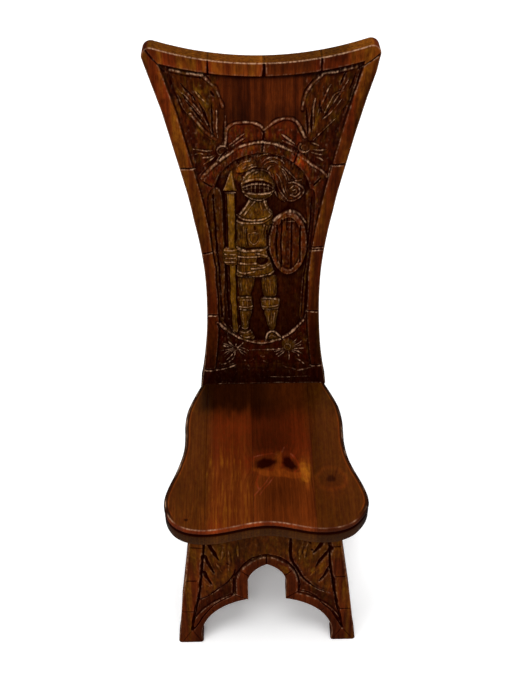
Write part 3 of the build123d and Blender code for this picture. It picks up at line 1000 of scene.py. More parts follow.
    def cut_plume(self) -> None:
        """Carve the plume and its curl, which lie on the ground behind the helmet."""
        plume = (
            "-40,436 -38,448 -30,458 -14,461 -6,455 6,465 24,466 38,458 46,444 46,420 43,392 34,384 26,390 "
            "24,410 10,432 -8,442 -26,436"
        )
        self.areas(plume, -3.9, 3.0, crown=1.3, crown_width=10, gilt=0.1, glaze=0.3)
        self.paint("-40,436 -36,450 -20,458 -8,456 -8,446 -26,438 -40,436", 6.0, gilt=0.3, glaze=0.05)
        curl = "40,418 50,418 61,412 67,405 66,395 59,387 49,383 40,385 42,396 39,406"
        self.areas(curl, -4.2, 2.0, crown=0.8, crown_width=8, gilt=0.1, glaze=0.35)
        feathers = (
            "-39,446 -30,453 -17,457; -33,440 -24,446 -12,450; -22,440 -14,445 -5,446; -5,463 10,467 "
            "27,465 38,457; 0,451 8,459 18,462 29,457 36,449; 2,446 9,453 18,455 25,450; 8,439 13,446 "
            "19,447; 26,446 35,437 41,426 43,416; 21,435 27,426 32,411 37,394; 23,424 25,409 32,396 "
            "41,386; 20,418 20,402 25,389; 30,440 37,428 40,414; 31,447 43,434 54,421; 16,436 18,426 "
            "16,418; 28,420 33,404 40,392; 30,390 36,382"
        )
        self.strokes(feathers, 2.6, 1.0, taper=Taper.BOTH, moat=0.8, wear=0.3)
        swirls = (
            "42,416 50,417 60,411 66,405 65,396 58,388 50,384 41,385; 45,405 51,411 58,407 60,399 54,392 "
            "46,394; 50,402 54,404 55,399 51,397; 62,420 55,419 47,421"
        )
        self.strokes(swirls, 2.8, 1.1, moat=0.7, wear=0.4)

    def cut_mail(self) -> None:
        """Carve the collar, the mailed chest and the small badge on it."""
        body = "-38,360 -29,374 -20,387 4,387 10,374 18,361 15,340 9,318 9,296 -41,296 -41,318 -42,342"
        self.areas(body, -2.9, 2.0, crown=1.7, crown_width=16, **ARMOUR)
        self.strokes(
            "-20,385 -28,372 -36,361; -12,384 -21,372 -29,360; 3,385 8,371 15,361",
            3.2, 0.8, moat=0.8, wear=0.6,
        )
        self.strokes("-14,383 -10,370 -8,362; -4,383 -1,372 3,364", 2.6, 0.5, moat=0.4)
        self.strokes(
            "-41,358 -26,351 -6,350 9,355 16,361; -41,347 -20,344 0,346 14,352",
            3.4, 0.9, moat=0.9, wear=0.6,
        )
        self.strokes("-41,352 -20,347.5 0,348.5 14,355", 2.4, -0.8, glaze=0.8)
        self.strokes(
            "-38,340 -38,318 -36,300; -30,338 -31,318 -29,300; 4,340 1,326 -3,312; 8,338 6,318 5,300",
            3.0, 0.4, moat=0.6,
        )
        self.strokes("-25,335 -26,318 -23,300; -12,338 -11,332", 2.8, -0.9, glaze=0.7)
        badge = path("-22,325 -6,325 -6,314 -9,307 -14,303 -19,307 -22,314 -22,325")
        self.level(badge, -2.1, 1.8, crown=0.6, crown_width=5, gilt=0.5, glaze=0.2)
        self.stroke(badge, 2.2, 0.5, moat=0.7, wear=0.3)
        self.strokes("-22,324 -6,324", 2.8, 0.5, wear=0.6)

    def cut_helmet(self) -> None:
        """Carve the helmet, with its closed and barred visor."""
        dome = "-33,409 -30,424 -21,435 -7,439 7,435 16,424 19,409 14,396 4,388 -7,386 -18,388 -28,396"
        self.areas(dome, -2.9, 2.2, crown=2.2, crown_width=17, **ARMOUR)
        self.strokes(
            "-29,427 -20,436 -6,440 9,436 16,427; -22,425 -14,433 -6,437",
            3.0, 0.6, moat=0.5, wear=0.5,
        )
        self.strokes("-6,440 -7,430 -7,424; -14,437 -20,424; 2,437 8,424", 2.2, -0.6, taper=Taper.END)
        visor = "-30,414 -18,420 -6,421.5 6,420 16,413 14,402 4,399 -7,398 -20,399.5 -29,402"
        self.areas(visor, -3.0, 1.8, glaze=0.75, gilt=0.3)
        bands = (
            "-32,417 -21,422.5 -6,424.5 8,421.5 18,415; -31,410.5 -18,414 -5,415 8,413.5 17,408; -31,402.5 "
            "-20,399 -4,397.5 10,399 18,402.5; -27,395.5 -16,388.5 -4,386.5 9,390 15,396.5"
        )
        self.strokes(bands, 3.3, 1.3, moat=0.8, wear=0.7, gilt=0.6)
        self.strokes(
            "-24,400 -24,414; -17,399 -17,415; -11,399 -11,416; -4,399 -4,416; 3,399 3,416; 9.5,400 "
            "9.5,414",
            2.6, 1.0, wear=0.35, gilt=0.7,
        )
        self.strokes("-28,406 -14,407.5 2,407.5 15,405", 2.0, 0.6, wear=0.3, gilt=0.6)

    def cut_skirt(self) -> None:
        """Carve the belt and the hemmed skirt below it."""
        skirt = (
            "-42,298 -30,296 8,296 10,282 14,268 19,250 16,243 4,239 -12,237 -41,238 -43,252 -41,268 "
            "-41,284"
        )
        self.areas(skirt, -2.8, 2.0, crown=1.7, crown_width=14, **ARMOUR)
        belt = "-41,298 -34,292.5 -20,290.5 0,291.5 9,297"
        self.strokes(belt, 5.0, 1.1, moat=1.0, wear=0.9)
        hems = (
            "-40,280 -26,279 -10,279; -40,266.5 -26,265.5 -10,266; -19,256 -6,256 4,258.5 14,266; -42,250 "
            "-31,246.5 -14,249.5; -40,241 -28,238.5 -10,238.5 6,241 18,248.5; -10,286 0,283 8,279"
        )
        self.strokes(hems, 3.4, 1.0, moat=0.9, wear=0.7)
        self.strokes(
            "-30,290 -30,240; -38,289 -39,268; -3,275 2,266; 2,289 6,272",
            2.4, 0.5, moat=0.5, rust=0.3,
        )
        self.areas("-8,277 6,276 9,270 4,264 -4,262 -10,268", -3.4, 2.0, glaze=0.6)

    def cut_legs(self) -> None:
        """Carve the thighs, knees, shins and feet."""
        thighs = (
            "-40,238 -16,238 -15,222 -19,206 -22,198 -38,198 -41,212; 0,238 20,241 24,222 24,204 20,196 "
            "3,196 -1,212"
        )
        self.areas(thighs, -3.7, 2.0, crown=1.9, crown_width=11, **ARMOUR)
        self.strokes(
            "-36,234 -37,218 -34,203; -27,234 -28,218 -27,203; -20,234 -19,220 -22,206; 5,236 5,220 7,203; "
            "12,236 13,220 13,203; 19,234 20,218 18,203",
            2.6, 0.5, moat=0.6, taper=Taper.BOTH, wear=0.2,
        )
        knees = "-41,198 -20,198 -18,184 -20,169 -39,169 -41,184; -2,193 25,193 29,182 26,170 1,170 -3,182"
        self.areas(knees, -3.3, 1.8, crown=1.8, crown_width=10, **ARMOUR)
        self.strokes(
            "-40,195.5 -30,197 -20,195.5; -39,190 -30,191.5 -20,190; -40,176 -30,175 -19,177; -39,170 "
            "-29,168.5 -18,171; -2,191.5 12,192.5 26,190; -1,177 12,175.5 28,178.5; 1,171 12,169.5 "
            "26,171.5",
            2.9, 0.9, moat=0.7, wear=0.75,
        )
        self.strokes(
            "-34,189 -34,178; -26,189 -26,178; 4,189 4,180; 11,189 11,179; 18,189 18,179",
            2.4, 0.6, moat=0.4, wear=0.3,
        )
        shins = "-39,168 -20,168 -23,148 -26,128 -36,128 -38,148; 4,168 26,168 24,148 20,124 11,124 6,148"
        self.areas(shins, -3.6, 1.8, crown=2.0, crown_width=9, **ARMOUR)
        self.strokes(
            "-24,166 -26,148 -29,130; -35,166 -34,148 -33,132; 9,166 10,148 14,128; 21,166 19,148 17,128; "
            "15,164 15,146 15.5,130",
            2.4, 0.5, moat=0.6, taper=Taper.BOTH, wear=0.3,
        )
        self.areas(
            "-40,124 -24,124 -17,116 -16,104 -38,101 -41,112",
            -3.6, 1.8, crown=1.4, crown_width=8, **ARMOUR,
        )
        self.strokes(
            "-36,130 -30,128 -25,130; -40,121 -30,119.5 -22,123; -38,112 -28,109 -18,112",
            3.0, 0.9, moat=0.6, wear=0.6,
        )
        self.areas(
            "5,101 7,113 14,120 23,119 30,110 34,103 20,99",
            -4.2, 1.8, crown=0.8, crown_width=8, **ARMOUR,
        )
        self.strokes("5,101 8,113 14,119 22,117.5 31,107", 3.6, 1.2, moat=0.7, wear=0.8)
        self.strokes("12,108 16,111 22,108", 2.4, 0.5, wear=0.3)

    def cut_lance(self) -> None:
        """Carve the lance, and the hand that holds it."""
        shaft = (
            "-56,398 -56,300 -55,262 -55,200 -53,120 -44,120 -45,200 -45,262 -44,300 -44,398 -56,398"
        )
        self.level(path(shaft), -3.8, 1.5, crown=2.6, crown_width=6, gilt=1.0, glaze=0.0, rust=0.0)
        self.strokes("-42,262 -42,205 -43,150 -45,122", 3.4, 1.2, rust=0.4)
        tip = path("-62,404 -48,439 -47,439 -41,404 -62,404")
        self.level(tip, -3.9, 1.6, crown=2.0, crown_width=7, gilt=0.95, rust=0.2, glaze=0.0)
        self.strokes("-61,404 -50,434; -48,437 -44,405; -62,404 -41,404", 2.4, 0.7, moat=0.3, wear=0.45)
        self.strokes("-50,430 -50,408", 2.0, -0.6, taper=Taper.END)
        self.strokes("-57,399 -43,399", 3.0, 0.9, wear=0.7)
        hand = "-63,296 -45,297 -41,290 -42,268 -46,262 -60,264 -65,275"
        self.areas(hand, -2.7, 1.8, crown=1.2, crown_width=8, gilt=0.6, glaze=0.0)
        self.strokes(
            "-62,293 -50,292.5 -41,294; -61,285.5 -45,285; -60,277 -45,277; -61,269 -45,268.5",
            3.2, 0.9, moat=0.7, wear=0.6,
        )
        self.strokes("-58,134 -52,122 -50,118; -40,134 -47,121 -50,118", 2.6, 0.8, taper=Taper.BOTH, wear=0.4)

    def cut_shield(self) -> None:
        """Carve the oval shield of upright staves inside a rounded rim."""
        turn = np.linspace(0, 2 * np.pi, 49)
        rim, board = (ellipse((42.5, 304.0), radii, turn) for radii in ((31, 61), (22, 51)))
        gold = {"gilt": 0.1, "rust": 0.25, "glaze": 0.15, "wear": 0.0}
        self.level(rim, -1.7, 2.4, crown=1.1, crown_width=5, shade=0.4, **gold)
        self.level(board, -2.6, 2.0, crown=0.5, crown_width=8, rust=0.3, glaze=0.3)
        self.strokes(
            "31,350 31,258; 48,353 48,254; 62,340 62,268; 24,340 24,270; 40,352 40,330",
            3.4, -1.7, glaze=0.95,
        )
        self.strokes("34,348 34,262; 45,335 45,258; 52,348 52,260", 2.6, 0.45, gilt=0.2, rust=0.4)
        self.strokes("37,346 52,346.5", 3.2, 0.7, moat=0.6, wear=0.45)
        self.strokes("37,358 40,348 50,348 53,358", 3.0, 0.5, gilt=0.5)
        self.strokes("17,343 23,352 33,361 45,366 59,359.5 71,342", 4.4, 1.1, moat=0.7, wear=0.9)
        self.strokes("31,247 36,245.5 46,244.5 58,252.5; 12,318 13,290 18,272", 3.0, 0.7, moat=0.4, wear=0.5)
        self.strokes("8,330 8,302 12,276 22,256", 4.0, -1.2, glaze=1.0)

    def cut_foot(self) -> None:
        """Carve the ground arc, the leaf sprays below it and the plain band over the seat."""
        apron = (
            "-79,142 -62,124 -45,108 -30,101 0,95 32,103 50,118 72,143 76,120 80,60 70,48 -70,50 -80,60 "
            "-77,120"
        )
        self.areas(apron, -2.9, 2.0, rust=0.25, glaze=0.25, gilt=0.0)
        self.strokes(
            "-78,142 -65,126 -45,109 -30,101 -15,96.5 0,94.5 15,98.5 30,102.5",
            4.6, 1.5, moat=0.9, wear=0.75,
        )
        self.strokes("35,106 50,118 60,128 71,144", 5.2, 1.6, moat=0.9, wear=0.8)
        sprays = (
            "-52,82 -64,81 -78,78; -54,85 -64,88 -75,90; -54,87 -62,91 -70,96; -53,89 -57,94 -61,100; "
            "-53,79 -62,74 -70,63; -51,77 -58,66 -66,57; -50,76 -53,62 -66,50 -79,47; -54,80 -64,77 "
            "-72,70; -47,84 -40,90 -35,97; -46,82 -38,78 -30,72; -45,85 -37,84 -25,76; -49,88 -48,95; "
            "-44,80 -38,72 -30,66; 38,82 28,80 17,79; 37,80 28,77 18,73; 38,78 30,73 22,67; 40,77 34,70 "
            "26,63; 40,83 20,79 -2,79; 51,86 62,92 71,101; 52,84 64,88 72,92; 52,82 64,81 76,82; 51,79 "
            "62,75 71,68; 50,77 60,70 66,60; 46,78 48,66 47,54; 48,92 56,98 62,106; 43,90 40,97 36,104; "
            "60,58 68,52 76,44; -70,92 -66,88"
        )
        self.strokes(sprays, 2.9, 1.0, taper=Taper.BOTH, moat=0.9, wear=0.6)
        self.areas(
            "34,98 44,104 55,98 57,86 50,77 40,78 34,86",
            -2.6, 3.0, crown=0.9, crown_width=9, gilt=0.6, glaze=0.0,
        )
        for x, v, radius in ((-50, 83, 4.5), (44, 86, 6.0)):
            self.stroke(ellipse((x, v), radius, np.linspace(0, 2 * np.pi, 15)), 2.6, 0.6, moat=0.5, wear=0.35)
        self.tool_marks(ease_in((96 - self.v) / 10) * ease_in((self.v - 42) / 10), (5.0, 6.0), 0.35, 41)
        self.strokes("-25,79 -10,79 5,79 20,80", 2.6, 0.6, moat=0.5, wear=0.4)
        self.level(path("-92,34 92,34 104,2 104,-6 -104,-6 -104,2 -92,34"), -1.6, 8.0, glaze=0.35, rust=0.1)
        lumps = (
            "-28,45 -24,38 -26,32; 36,42 42,38 52,36 60,33; 62,31 74,33 86,36; -4,66 0,64 4,66; 0,55 6,50 "
            "10,48; -33,57 -32,53; -16,58 -22,54"
        )
        self.strokes(lumps, 5.0, 0.8, taper=Taper.BOTH, wear=0.2)
        self.strokes("10,16.5 45,16 86,15.5", 1.8, 0.5, moat=0.4, wear=0.6)
        self.strokes("-106,1.5 0,2 106,1.5", 2.6, 0.5, wear=0.25, rust=0.5)

    def stain(self) -> None:
        """Lay the stain: golden streaks on the border, and the board darker low down, next to the seat."""
        x, v = self.x, self.v
        streak = self.noise((7.0, 90.0), 51)
        tone, gilt, rust = (self.finish[name] for name in ("tone", "gilt", "rust"))
        on_border = 1 - ease_in((self.edge - self.border) / 3 + 0.5)
        worked = (1 - on_border) * np.maximum(ease_in((522 - v) / 14), ease_in((np.abs(x) - 58) / 8))
        low_ground = ease_in((-4.6 - self.height) / 0.6)
        self.mottle(worked * (1 - 0.6 * low_ground) * (1 - 0.35 * ease_in((98 - v) / 10)), 0.5, 100)
        tone -= 0.25 * low_ground + 0.3 * (1 - on_border)
        gilt += on_border * np.clip(0.1 + 0.25 * streak, 0, 0.4) * ease_in((v - 20) / 120)
        rust += 0.3 * on_border * np.clip(self.noise((14.0, 120.0), 52), 0, 1)
        # Darker towards the foot of the board.
        tone += 0.12 * streak - 1.05 * ease_in((210 - v) / 170) - 0.7 * ease_in((70 - v) / 60)
        tone -= 0.5 * ease_in((-3.2 - self.height) / 1.0) * ease_in((440 - v) / 30)
        tone += on_border * (0.45 * ease_in((v - 400) / 100) - 0.4 * ease_in((400 - v) / 90))
        tone -= 0.3 * on_border * ease_in((x - 40) / 20) * ease_in((560 - v) / 60)
        by_flare = (x > 100) * ease_in((v - 470) / 60) * ease_in((626 - v) / 12)
        tone -= 1.1 * ease_in((11 - self.edge) / 8) * by_flare
        right_top = ease_in((x - 2) / 6) * ease_in((134 - x) / 16) * ease_in((v - 588) / 8)
        tone -= 0.95 * right_top
        gilt *= 1 - 0.8 * right_top
        plain = (1 - on_border) * ease_in((v - 515) / 14) * (np.abs(x) < 66)
        tone -= plain * (0.9 * hill(x, -36, 14) - 0.15)
        tone -= 0.8 * hill(self.edge - self.border, 2.5, 2.5) * (v > 560)
        tone -= plain * 0.75 * ease_in((560 - v) / 35)
        tone -= 0.75 * hill(x, -62, 18) * ease_in((190 - v) / 30) * (1 - on_border)
        tone -= 0.8 * hill(x, 14, 26) * hill(v, 14, 16)
        tone += 0.55 * on_border * ease_in((x - 70) / 10) * hill(v, 245, 30)
        red_block = hill(x, 56, 14) * hill(v, 452, 11) * (self.height > -2.8)
        left_block = hill(x, -84, 10) * hill(v, 432, 16) * (self.height > -2.8)
        rust += 1.2 * red_block + 0.6 * left_block
        left_border = on_border * ease_in((-70 - x) / 10)
        tone -= 0.28 * left_border * ease_in((v - 120) / 60) * ease_in((520 - v) / 60)
        tone += 0.25 * on_border * ease_in((x - 70) / 10) * hill(v, 330, 60)
        tone += 1.2 * red_block + 0.3 * left_block


@dataclass
class CarvedBack(LeaningBoard):
    """The reclined back board: a flared plank with a carved border, leaves and a knight in a niche."""

    title: str = "carved_back"
    node_title: str = "back_stave"
    slot: str = "back_wood"
    plane: BoardPlane = BoardPlane(113.63, 385.0, 5.83)
    base_half: float = 114.0
    waist: tuple[float, float] = (96.0, 205.0)
    flare: tuple[float, float] = (118.0, 402.0)
    tip: tuple[float, float] = (179.0, 646.0)
    crest: float = 614.0
    tip_radius: float = 13.0
    thickness: float = 32.0
    ease: float = 2.0
    rows: int = 593
    cols: int = 369
    edge_wear: float = 0.45
    back_rough: float = 0.25
    back_seed: int = 61
    seams: tuple[float, ...] = (-119.0, -17.0, 83.0)
    names: tuple[str, ...] = ("outer_left", "left", "right", "outer_right")
    strays: tuple[str, str] = (
        "0,0 250,0.4 350,2.7 430,0.2 540,-2.8 620,0",
        "0,1 250,1.5 365,3.8 500,0.2 560,0.2 600,1.6 620,0",
    )

    def half_width(self, v: Array) -> Array:
        """Give the board's half width at heights along it.

        Two arcs with an upright tangent at the waist, of radius (dx^2 + dv^2) / (2 dx), and a
        straight flare above them.

        Args:
            v: heights along the board.

        Returns:
            The half widths.
        """
        waist_x, waist_v = self.waist
        spans = [(self.base_half - waist_x, waist_v), (self.flare[0] - waist_x, self.flare[1] - waist_v)]
        radius = np.where(v < waist_v, *[(dx**2 + dv**2) / (2 * dx) for dx, dv in spans])
        curve = waist_x + radius - np.sqrt(np.maximum(radius**2 - (v - waist_v) ** 2, 1))
        slope = (self.tip[0] - self.flare[0]) / (self.tip[1] - self.flare[1])
        return np.where(v < self.flare[1], curve, self.flare[0] + slope * (v - self.flare[1]))

    @property
    def top_radius(self) -> float:
        """Radius of the hollow top edge, through both tips and the crest."""
        rise = self.tip[1] - self.crest
        return (self.tip[0] ** 2 + rise**2) / (2 * rise)

    def top_height(self, x: Array) -> Array:
        """Give the height of the hollow top edge at places across."""
        return self.crest + self.top_radius - np.sqrt(self.top_radius**2 - x**2)

    def half_outline(self) -> tuple[Array, Array]:
        """Draw the right half of the outline.

        Returns:
            The side from the base to the middle of the rounded tip, and the top from there to the
            crest.
        """
        along = np.array((self.tip[0] - self.flare[0], self.tip[1] - self.flare[1]))
        along /= np.hypot(*along)
        inward = np.array((-along[1], along[0]))
        hub = np.array((0.0, self.crest + self.top_radius))
        start = np.array(self.flare) + self.tip_radius * inward - hub
        middle = -start @ along
        run = middle - np.sqrt(middle**2 - start @ start + (self.top_radius + self.tip_radius) ** 2)
        centre = hub + start + run * along
        low = math.atan2(-inward[1], -inward[0])
        up = hub - centre
        high = math.atan2(up[1], up[0])
        arc = ellipse(centre, self.tip_radius, np.linspace(low, high, 33))
        v = np.linspace(0, self.flare[1], 80)
        side = np.vstack((np.stack((self.half_width(v), v), -1), arc[:17]))
        x = np.linspace(arc[-1, 0], 0, 60)[1:]
        top = np.vstack((arc[16:], np.stack((x, self.top_height(x)), -1)))
        return side, top

    def outline(self, inset: float) -> tuple[Array, Array, Array, Array]:
        """Draw the whole outline.

        Args:
            inset: how far it is moved in, in mm.

        Returns:
            Its front, right, rear and left lines.
        """
        side, top = self.half_outline()
        right = resample(side, self.rows)
        half_top = resample(top, self.cols // 2 + 1)
        line = np.vstack((right, half_top[1:], (half_top * (-1, 1))[-2::-1], (right * (-1, 1))[-2::-1]))
        line = moved_in(line, inset)
        line[(0, -1), 1] = 0
        line[:, 0] += np.sign(line[:, 0]) * hand_drift(*line.T, *self.strays)
        first, last = self.rows, self.rows + self.cols - 1
        front = np.linspace(line[-1], line[0], self.cols)
        return front, line[:first], line[first - 1 : last][::-1], line[last - 1 :][::-1]

    def carve(self, x: Array, v: Array) -> Relief:
        """Carve the board's face.

        Args:
            x: (rows, cols) places across.
            v: (rows, cols) places along.

        Returns:
            The face's heights and finish.
        """
        across, along = x.ravel(), v.ravel()
        slope = np.gradient(self.half_width(np.arange(0, 660.0)))
        half = self.half_width(along) + hand_drift(across, along, *self.strays)
        from_side = (half - np.abs(across)) * np.cos(np.arctan(np.interp(along, np.arange(660), slope)))
        from_top = (self.top_height(across) - along) * np.sqrt(1 - (across / self.top_radius) ** 2)
        cut = BackCarving(across, along, edge=np.minimum(from_side, from_top))
        cut.carve()
        cut.settle_finish(x.shape)
        return cut

    def shell(self) -> Shell:
        """Build the whole board as one closed shell.

        Returns:
            The shell.
        """
        grid = coons(*self.outline(self.ease))
        cut = self.carve(*np.moveaxis(grid, -1, 0))
        shell = self.close(cut, grid, coons(*self.outline(0.0)))
        lean, (across, behind, above) = math.radians(self.plane.lean), shell.points.T / MM
        behind, above = behind - self.plane.y, above - self.plane.z
        along = behind * math.sin(lean) + above * math.cos(lean)
        on_top = ease_in((along - self.top_height(across) + 3) / 2)
        # The top edge: more wear and gilt, and a tone painted lighter, more so towards the right, as a
        # painted highlight on the up-facing edge.
        shell.finish["wear"] *= 1 + 0.9 * on_top
        on_top *= ease_in((behind * math.cos(lean) - above * math.sin(lean) - 0.8) / 1.5)
        shell.finish["tone"] += on_top * (0.1 + 0.4 * ease_in((across + 40) / 50))
        shell.finish["gilt"] += 0.35 * on_top
        return shell

    def tenons(self, node: str) -> Shell | None:
        """Give the tenons of a stave, as the frame has them."""
        return tenon_shell(node, self.plane.lean)


# ------------------------------------------------------------------ leg boards
def bulged(start: tuple[float, float], end: tuple[float, float], rise: float, count: int) -> Array:
    """Draw a circle's arc between two points.

    The radius is (c^2 / 4 + rise^2) / (2 rise) for a chord c, and the arc lies to the right of the
    way from start to end.

    Args:
        start: where it starts.
        end: where it ends.
        rise: its height over the chord.
        count: number of points.

    Returns:
        A (count, 2) polyline.
    """
    first, last = np.array(start), np.array(end)
    chord = np.hypot(*(last - first))
    radius = (chord**2 / 4 + rise**2) / (2 * rise)
    way = (last - first) / chord
    side = np.array((way[1], -way[0]))
    half = math.asin(chord / 2 / radius)
    turn = np.linspace(-half, half, count)[:, None]
    centre = (first + last) / 2 + (rise - radius) * side
    return centre + radius * (np.sin(turn) * way + np.cos(turn) * side)


@dataclass
class LegCarving(Relief):
    """The front leg board's carved face: a border round leaves that climb beside the opening."""

    edge: Array = field(kw_only=True)
    from_edge: Array = field(kw_only=True)
    from_side: Array = field(kw_only=True)
    border: float = 21.0
    field_depth: float = 2.4

    def carve(self) -> None:
        """Cut all of it in order, and stain it."""
        self.cut_ground()
        self.cut_leaves()
        self.stain()

    def cut_ground(self) -> None:
        """Lower the field between the borders, and cut the borders' lines, mitres and joints."""
        in_field = ease_in((self.edge - self.border) / 1.6 + 0.5)
        self.height -= self.field_depth * in_field
        self.height -= 0.5 * np.clip(1 - ((self.edge - self.border - 1.6) / 1.6) ** 2, 0, 1)
        self.tool_marks(in_field, (5.0, 14.0), 0.35, 75)
        side_grooves = (
            "-108,300 -109,275 -113,240 -116,205 -120,165 -124,135 -130,108 -137,66 -140,38; 108,300 "
            "109,273 110,236 113,210 118,185 121,157 125,131 130,101 134,79 138,56 141,38"
        )
        self.strokes(side_grooves, 6.0, -2.1, glaze=0.9)
        self.strokes("119,96 127,78 135,56 140,42", 6.5, -1.6, taper=Taper.START, glaze=0.85)
        arch_lines = (
            "-140,38 -136,44 -128,59 -117,82 -102,108 -84,128 -62,145 -60,165 -59,190; -57,198 -45,222 "
            "-30,243 -10,254 2,255 18,250 33,238 47,217 54,194 59,172 58,155; 59,153 73,147 89,133 105,110 "
            "118,92 125,76 137,47 141,38"
        )
        self.strokes(arch_lines, 3.4, -1.4, glaze=0.8)
        joints = (
            "-131,281 -111,279; -144,188 -126,188; -157,97 -134,96; 109,276 132,277; 121,193 142,193; "
            "134,97 157,98; -60,146 -38,133; -44,212 -33,200; -100,100 -90,87; -1,234 -1,253; 58,154 "
            "36,135; 31,199 44,212; 89,84 103,97"
        )
        self.strokes(joints, 3.0, -1.0, glaze=0.7)
        self.strokes("-141,37 -158,5; -139,37 -125,5; 141,37 159,6; 140,37 125,5", 2.4, -0.6, glaze=0.35)
        # Pale lines along edges and beside joints: wear with a painted highlight.
        pale = (
            "-59,149 -42,138; 58,157 42,144; -64,190 -64,150; -66,149 -84,132 -102,112; 64,154 76,150 "
            "92,136; -55,186 -55,152; 3,258.5 18,254 34,242; -104,268 -108,245 -112,215; 105,268 106,240 "
            "109,212 114,186; 47,262 48,245 57,219 66,197 78,179 91,163"
        )
        self.strokes(pale, 2.3, 0.45, wear=0.15)

    def cut_leaves(self) -> None:
        """Carve the long leaves that climb the board beside the opening."""
        leaf_loops = (
            "-107,276 -102,288 -62,288 -58,240 -59,207 -73,184 -91,163 -107,147 -120,138 -116,172 "
            "-112,212; 106,268 98,290 52,292 48,262 50,243 58,219 67,198 80,179 93,165 108,153 118,147 "
            "115,178 110,212"
        )
        self.areas(leaf_loops, -2.2, 2.4, crown=1.2, crown_width=16, gilt=0.15, rust=0.15)
        patches = (
            "-86,280 -72,280 -74,232 -84,228 -86,280; 91,238 99,236 98,204 91,200 91,238; 64,252 72,250 "
            "72,226 64,228 64,252; -104,238 -96,210 -90,205 -98,240 -104,238; 78,222 88,214 84,202 76,208 "
            "78,222; 20,232 36,222 40,204 30,206 20,232"
        )
        self.paint(patches, 5.0, gilt=0.5, rust=0.35, glaze=0.0)
        webs = (
            "-118,132 -104,140 -88,157 -66,184 -62,150 -84,132 -104,112 -122,84 -126,110 -118,132; 62,180 "
            "72,168 88,154 106,142 120,134 126,112 122,96 106,116 90,138 74,152 62,158 62,180"
        )
        self.paint(webs, 4.0, gilt=0.05, rust=0.1, glaze=0.3, tone=-0.45)
        self.strokes("-125,129 -106,141 -90,158 -71,179 -59,200 -56,216", 3.4, -1.6, glaze=0.9)
        self.strokes(
            "41,302 41,262 43,243 53,215 63,192 75,174 89,158 106,147 119,140",
            6.2, -2.6, taper=Taper.END, glaze=0.95,
        )
        wedges = (
            "-99,285 -91,262 -83,242; -108,254 -101,231 -92,207; -111,210 -105,192 -98,174; 98,294 90,276 "
            "80,259; 111,272 97,247 85,219; 111,219 103,199 93,178"
        )
        self.strokes(wedges, 8.6, -2.4, taper=Taper.END, glaze=0.9)
        ribs = (
            "-75,282 -77,262 -80,246; -88,236 -83,222 -80,212; -118,196 -110,182 -101,170; 90,216 82,206 "
            "76,196; 62,290 57,262 57,242; -50,290 -50,252; 70,286 66,266 66,246; -66,270 -66,240 -68,214"
        )
        self.strokes(ribs, 5.0, 0.8, taper=Taper.BOTH, moat=0.25, gilt=0.3, rust=0.3)
        self.strokes("71,291 76,284; 76,272 80,266; -70,236 -66,230", 4.4, -1.0, taper=Taper.BOTH, glaze=0.4)

    def stain(self) -> None:
        """Lay the stain: blotched leaves, golden streaks on the border, arrises worn and painted with a
        highlight that is stronger on the left, and the board darker overall, towards its top and at its foot.
        """
        self.mottle(0.65 * ease_in((self.edge - self.border) / 3 + 0.5), 0.45, 200, 1.8)
        on_side = 1 - ease_in((self.from_side - self.border) / 3 + 0.5)
        streak = self.noise((6.0, 80.0), 74)
        self.finish["gilt"] += on_side * np.clip(0.12 + 0.3 * streak, 0, 0.5)
        high = ease_in((self.v - 120) / 90)
        # Worn arrises with a painted highlight, stronger on the left side.
        self.finish["wear"] += 0.9 * high * hill(self.from_edge, 1.6, 1.5) * np.where(self.x < 0, 1.0, 0.4)
        self.finish["glaze"] += 0.5 * high * hill(self.from_edge, 5.4, 1.3)
        self.finish["gilt"] += 0.18 * ease_in((self.v - 235) / 20)
        self.finish["tone"] -= 0.6 * hill(self.x, 0, 34) * hill(self.v, 240, 16) + 0.12
        self.finish["tone"] += 0.5 * ease_in((np.abs(self.x) - 112) / 12) * ease_in((self.v - 245) / 25)
        self.finish["tone"] += 0.15 * on_side - 0.3 * ease_in((self.v - 240) / 60)
        self.finish["tone"] -= 0.35 * ease_in((110 - self.v) / 60) + 0.25


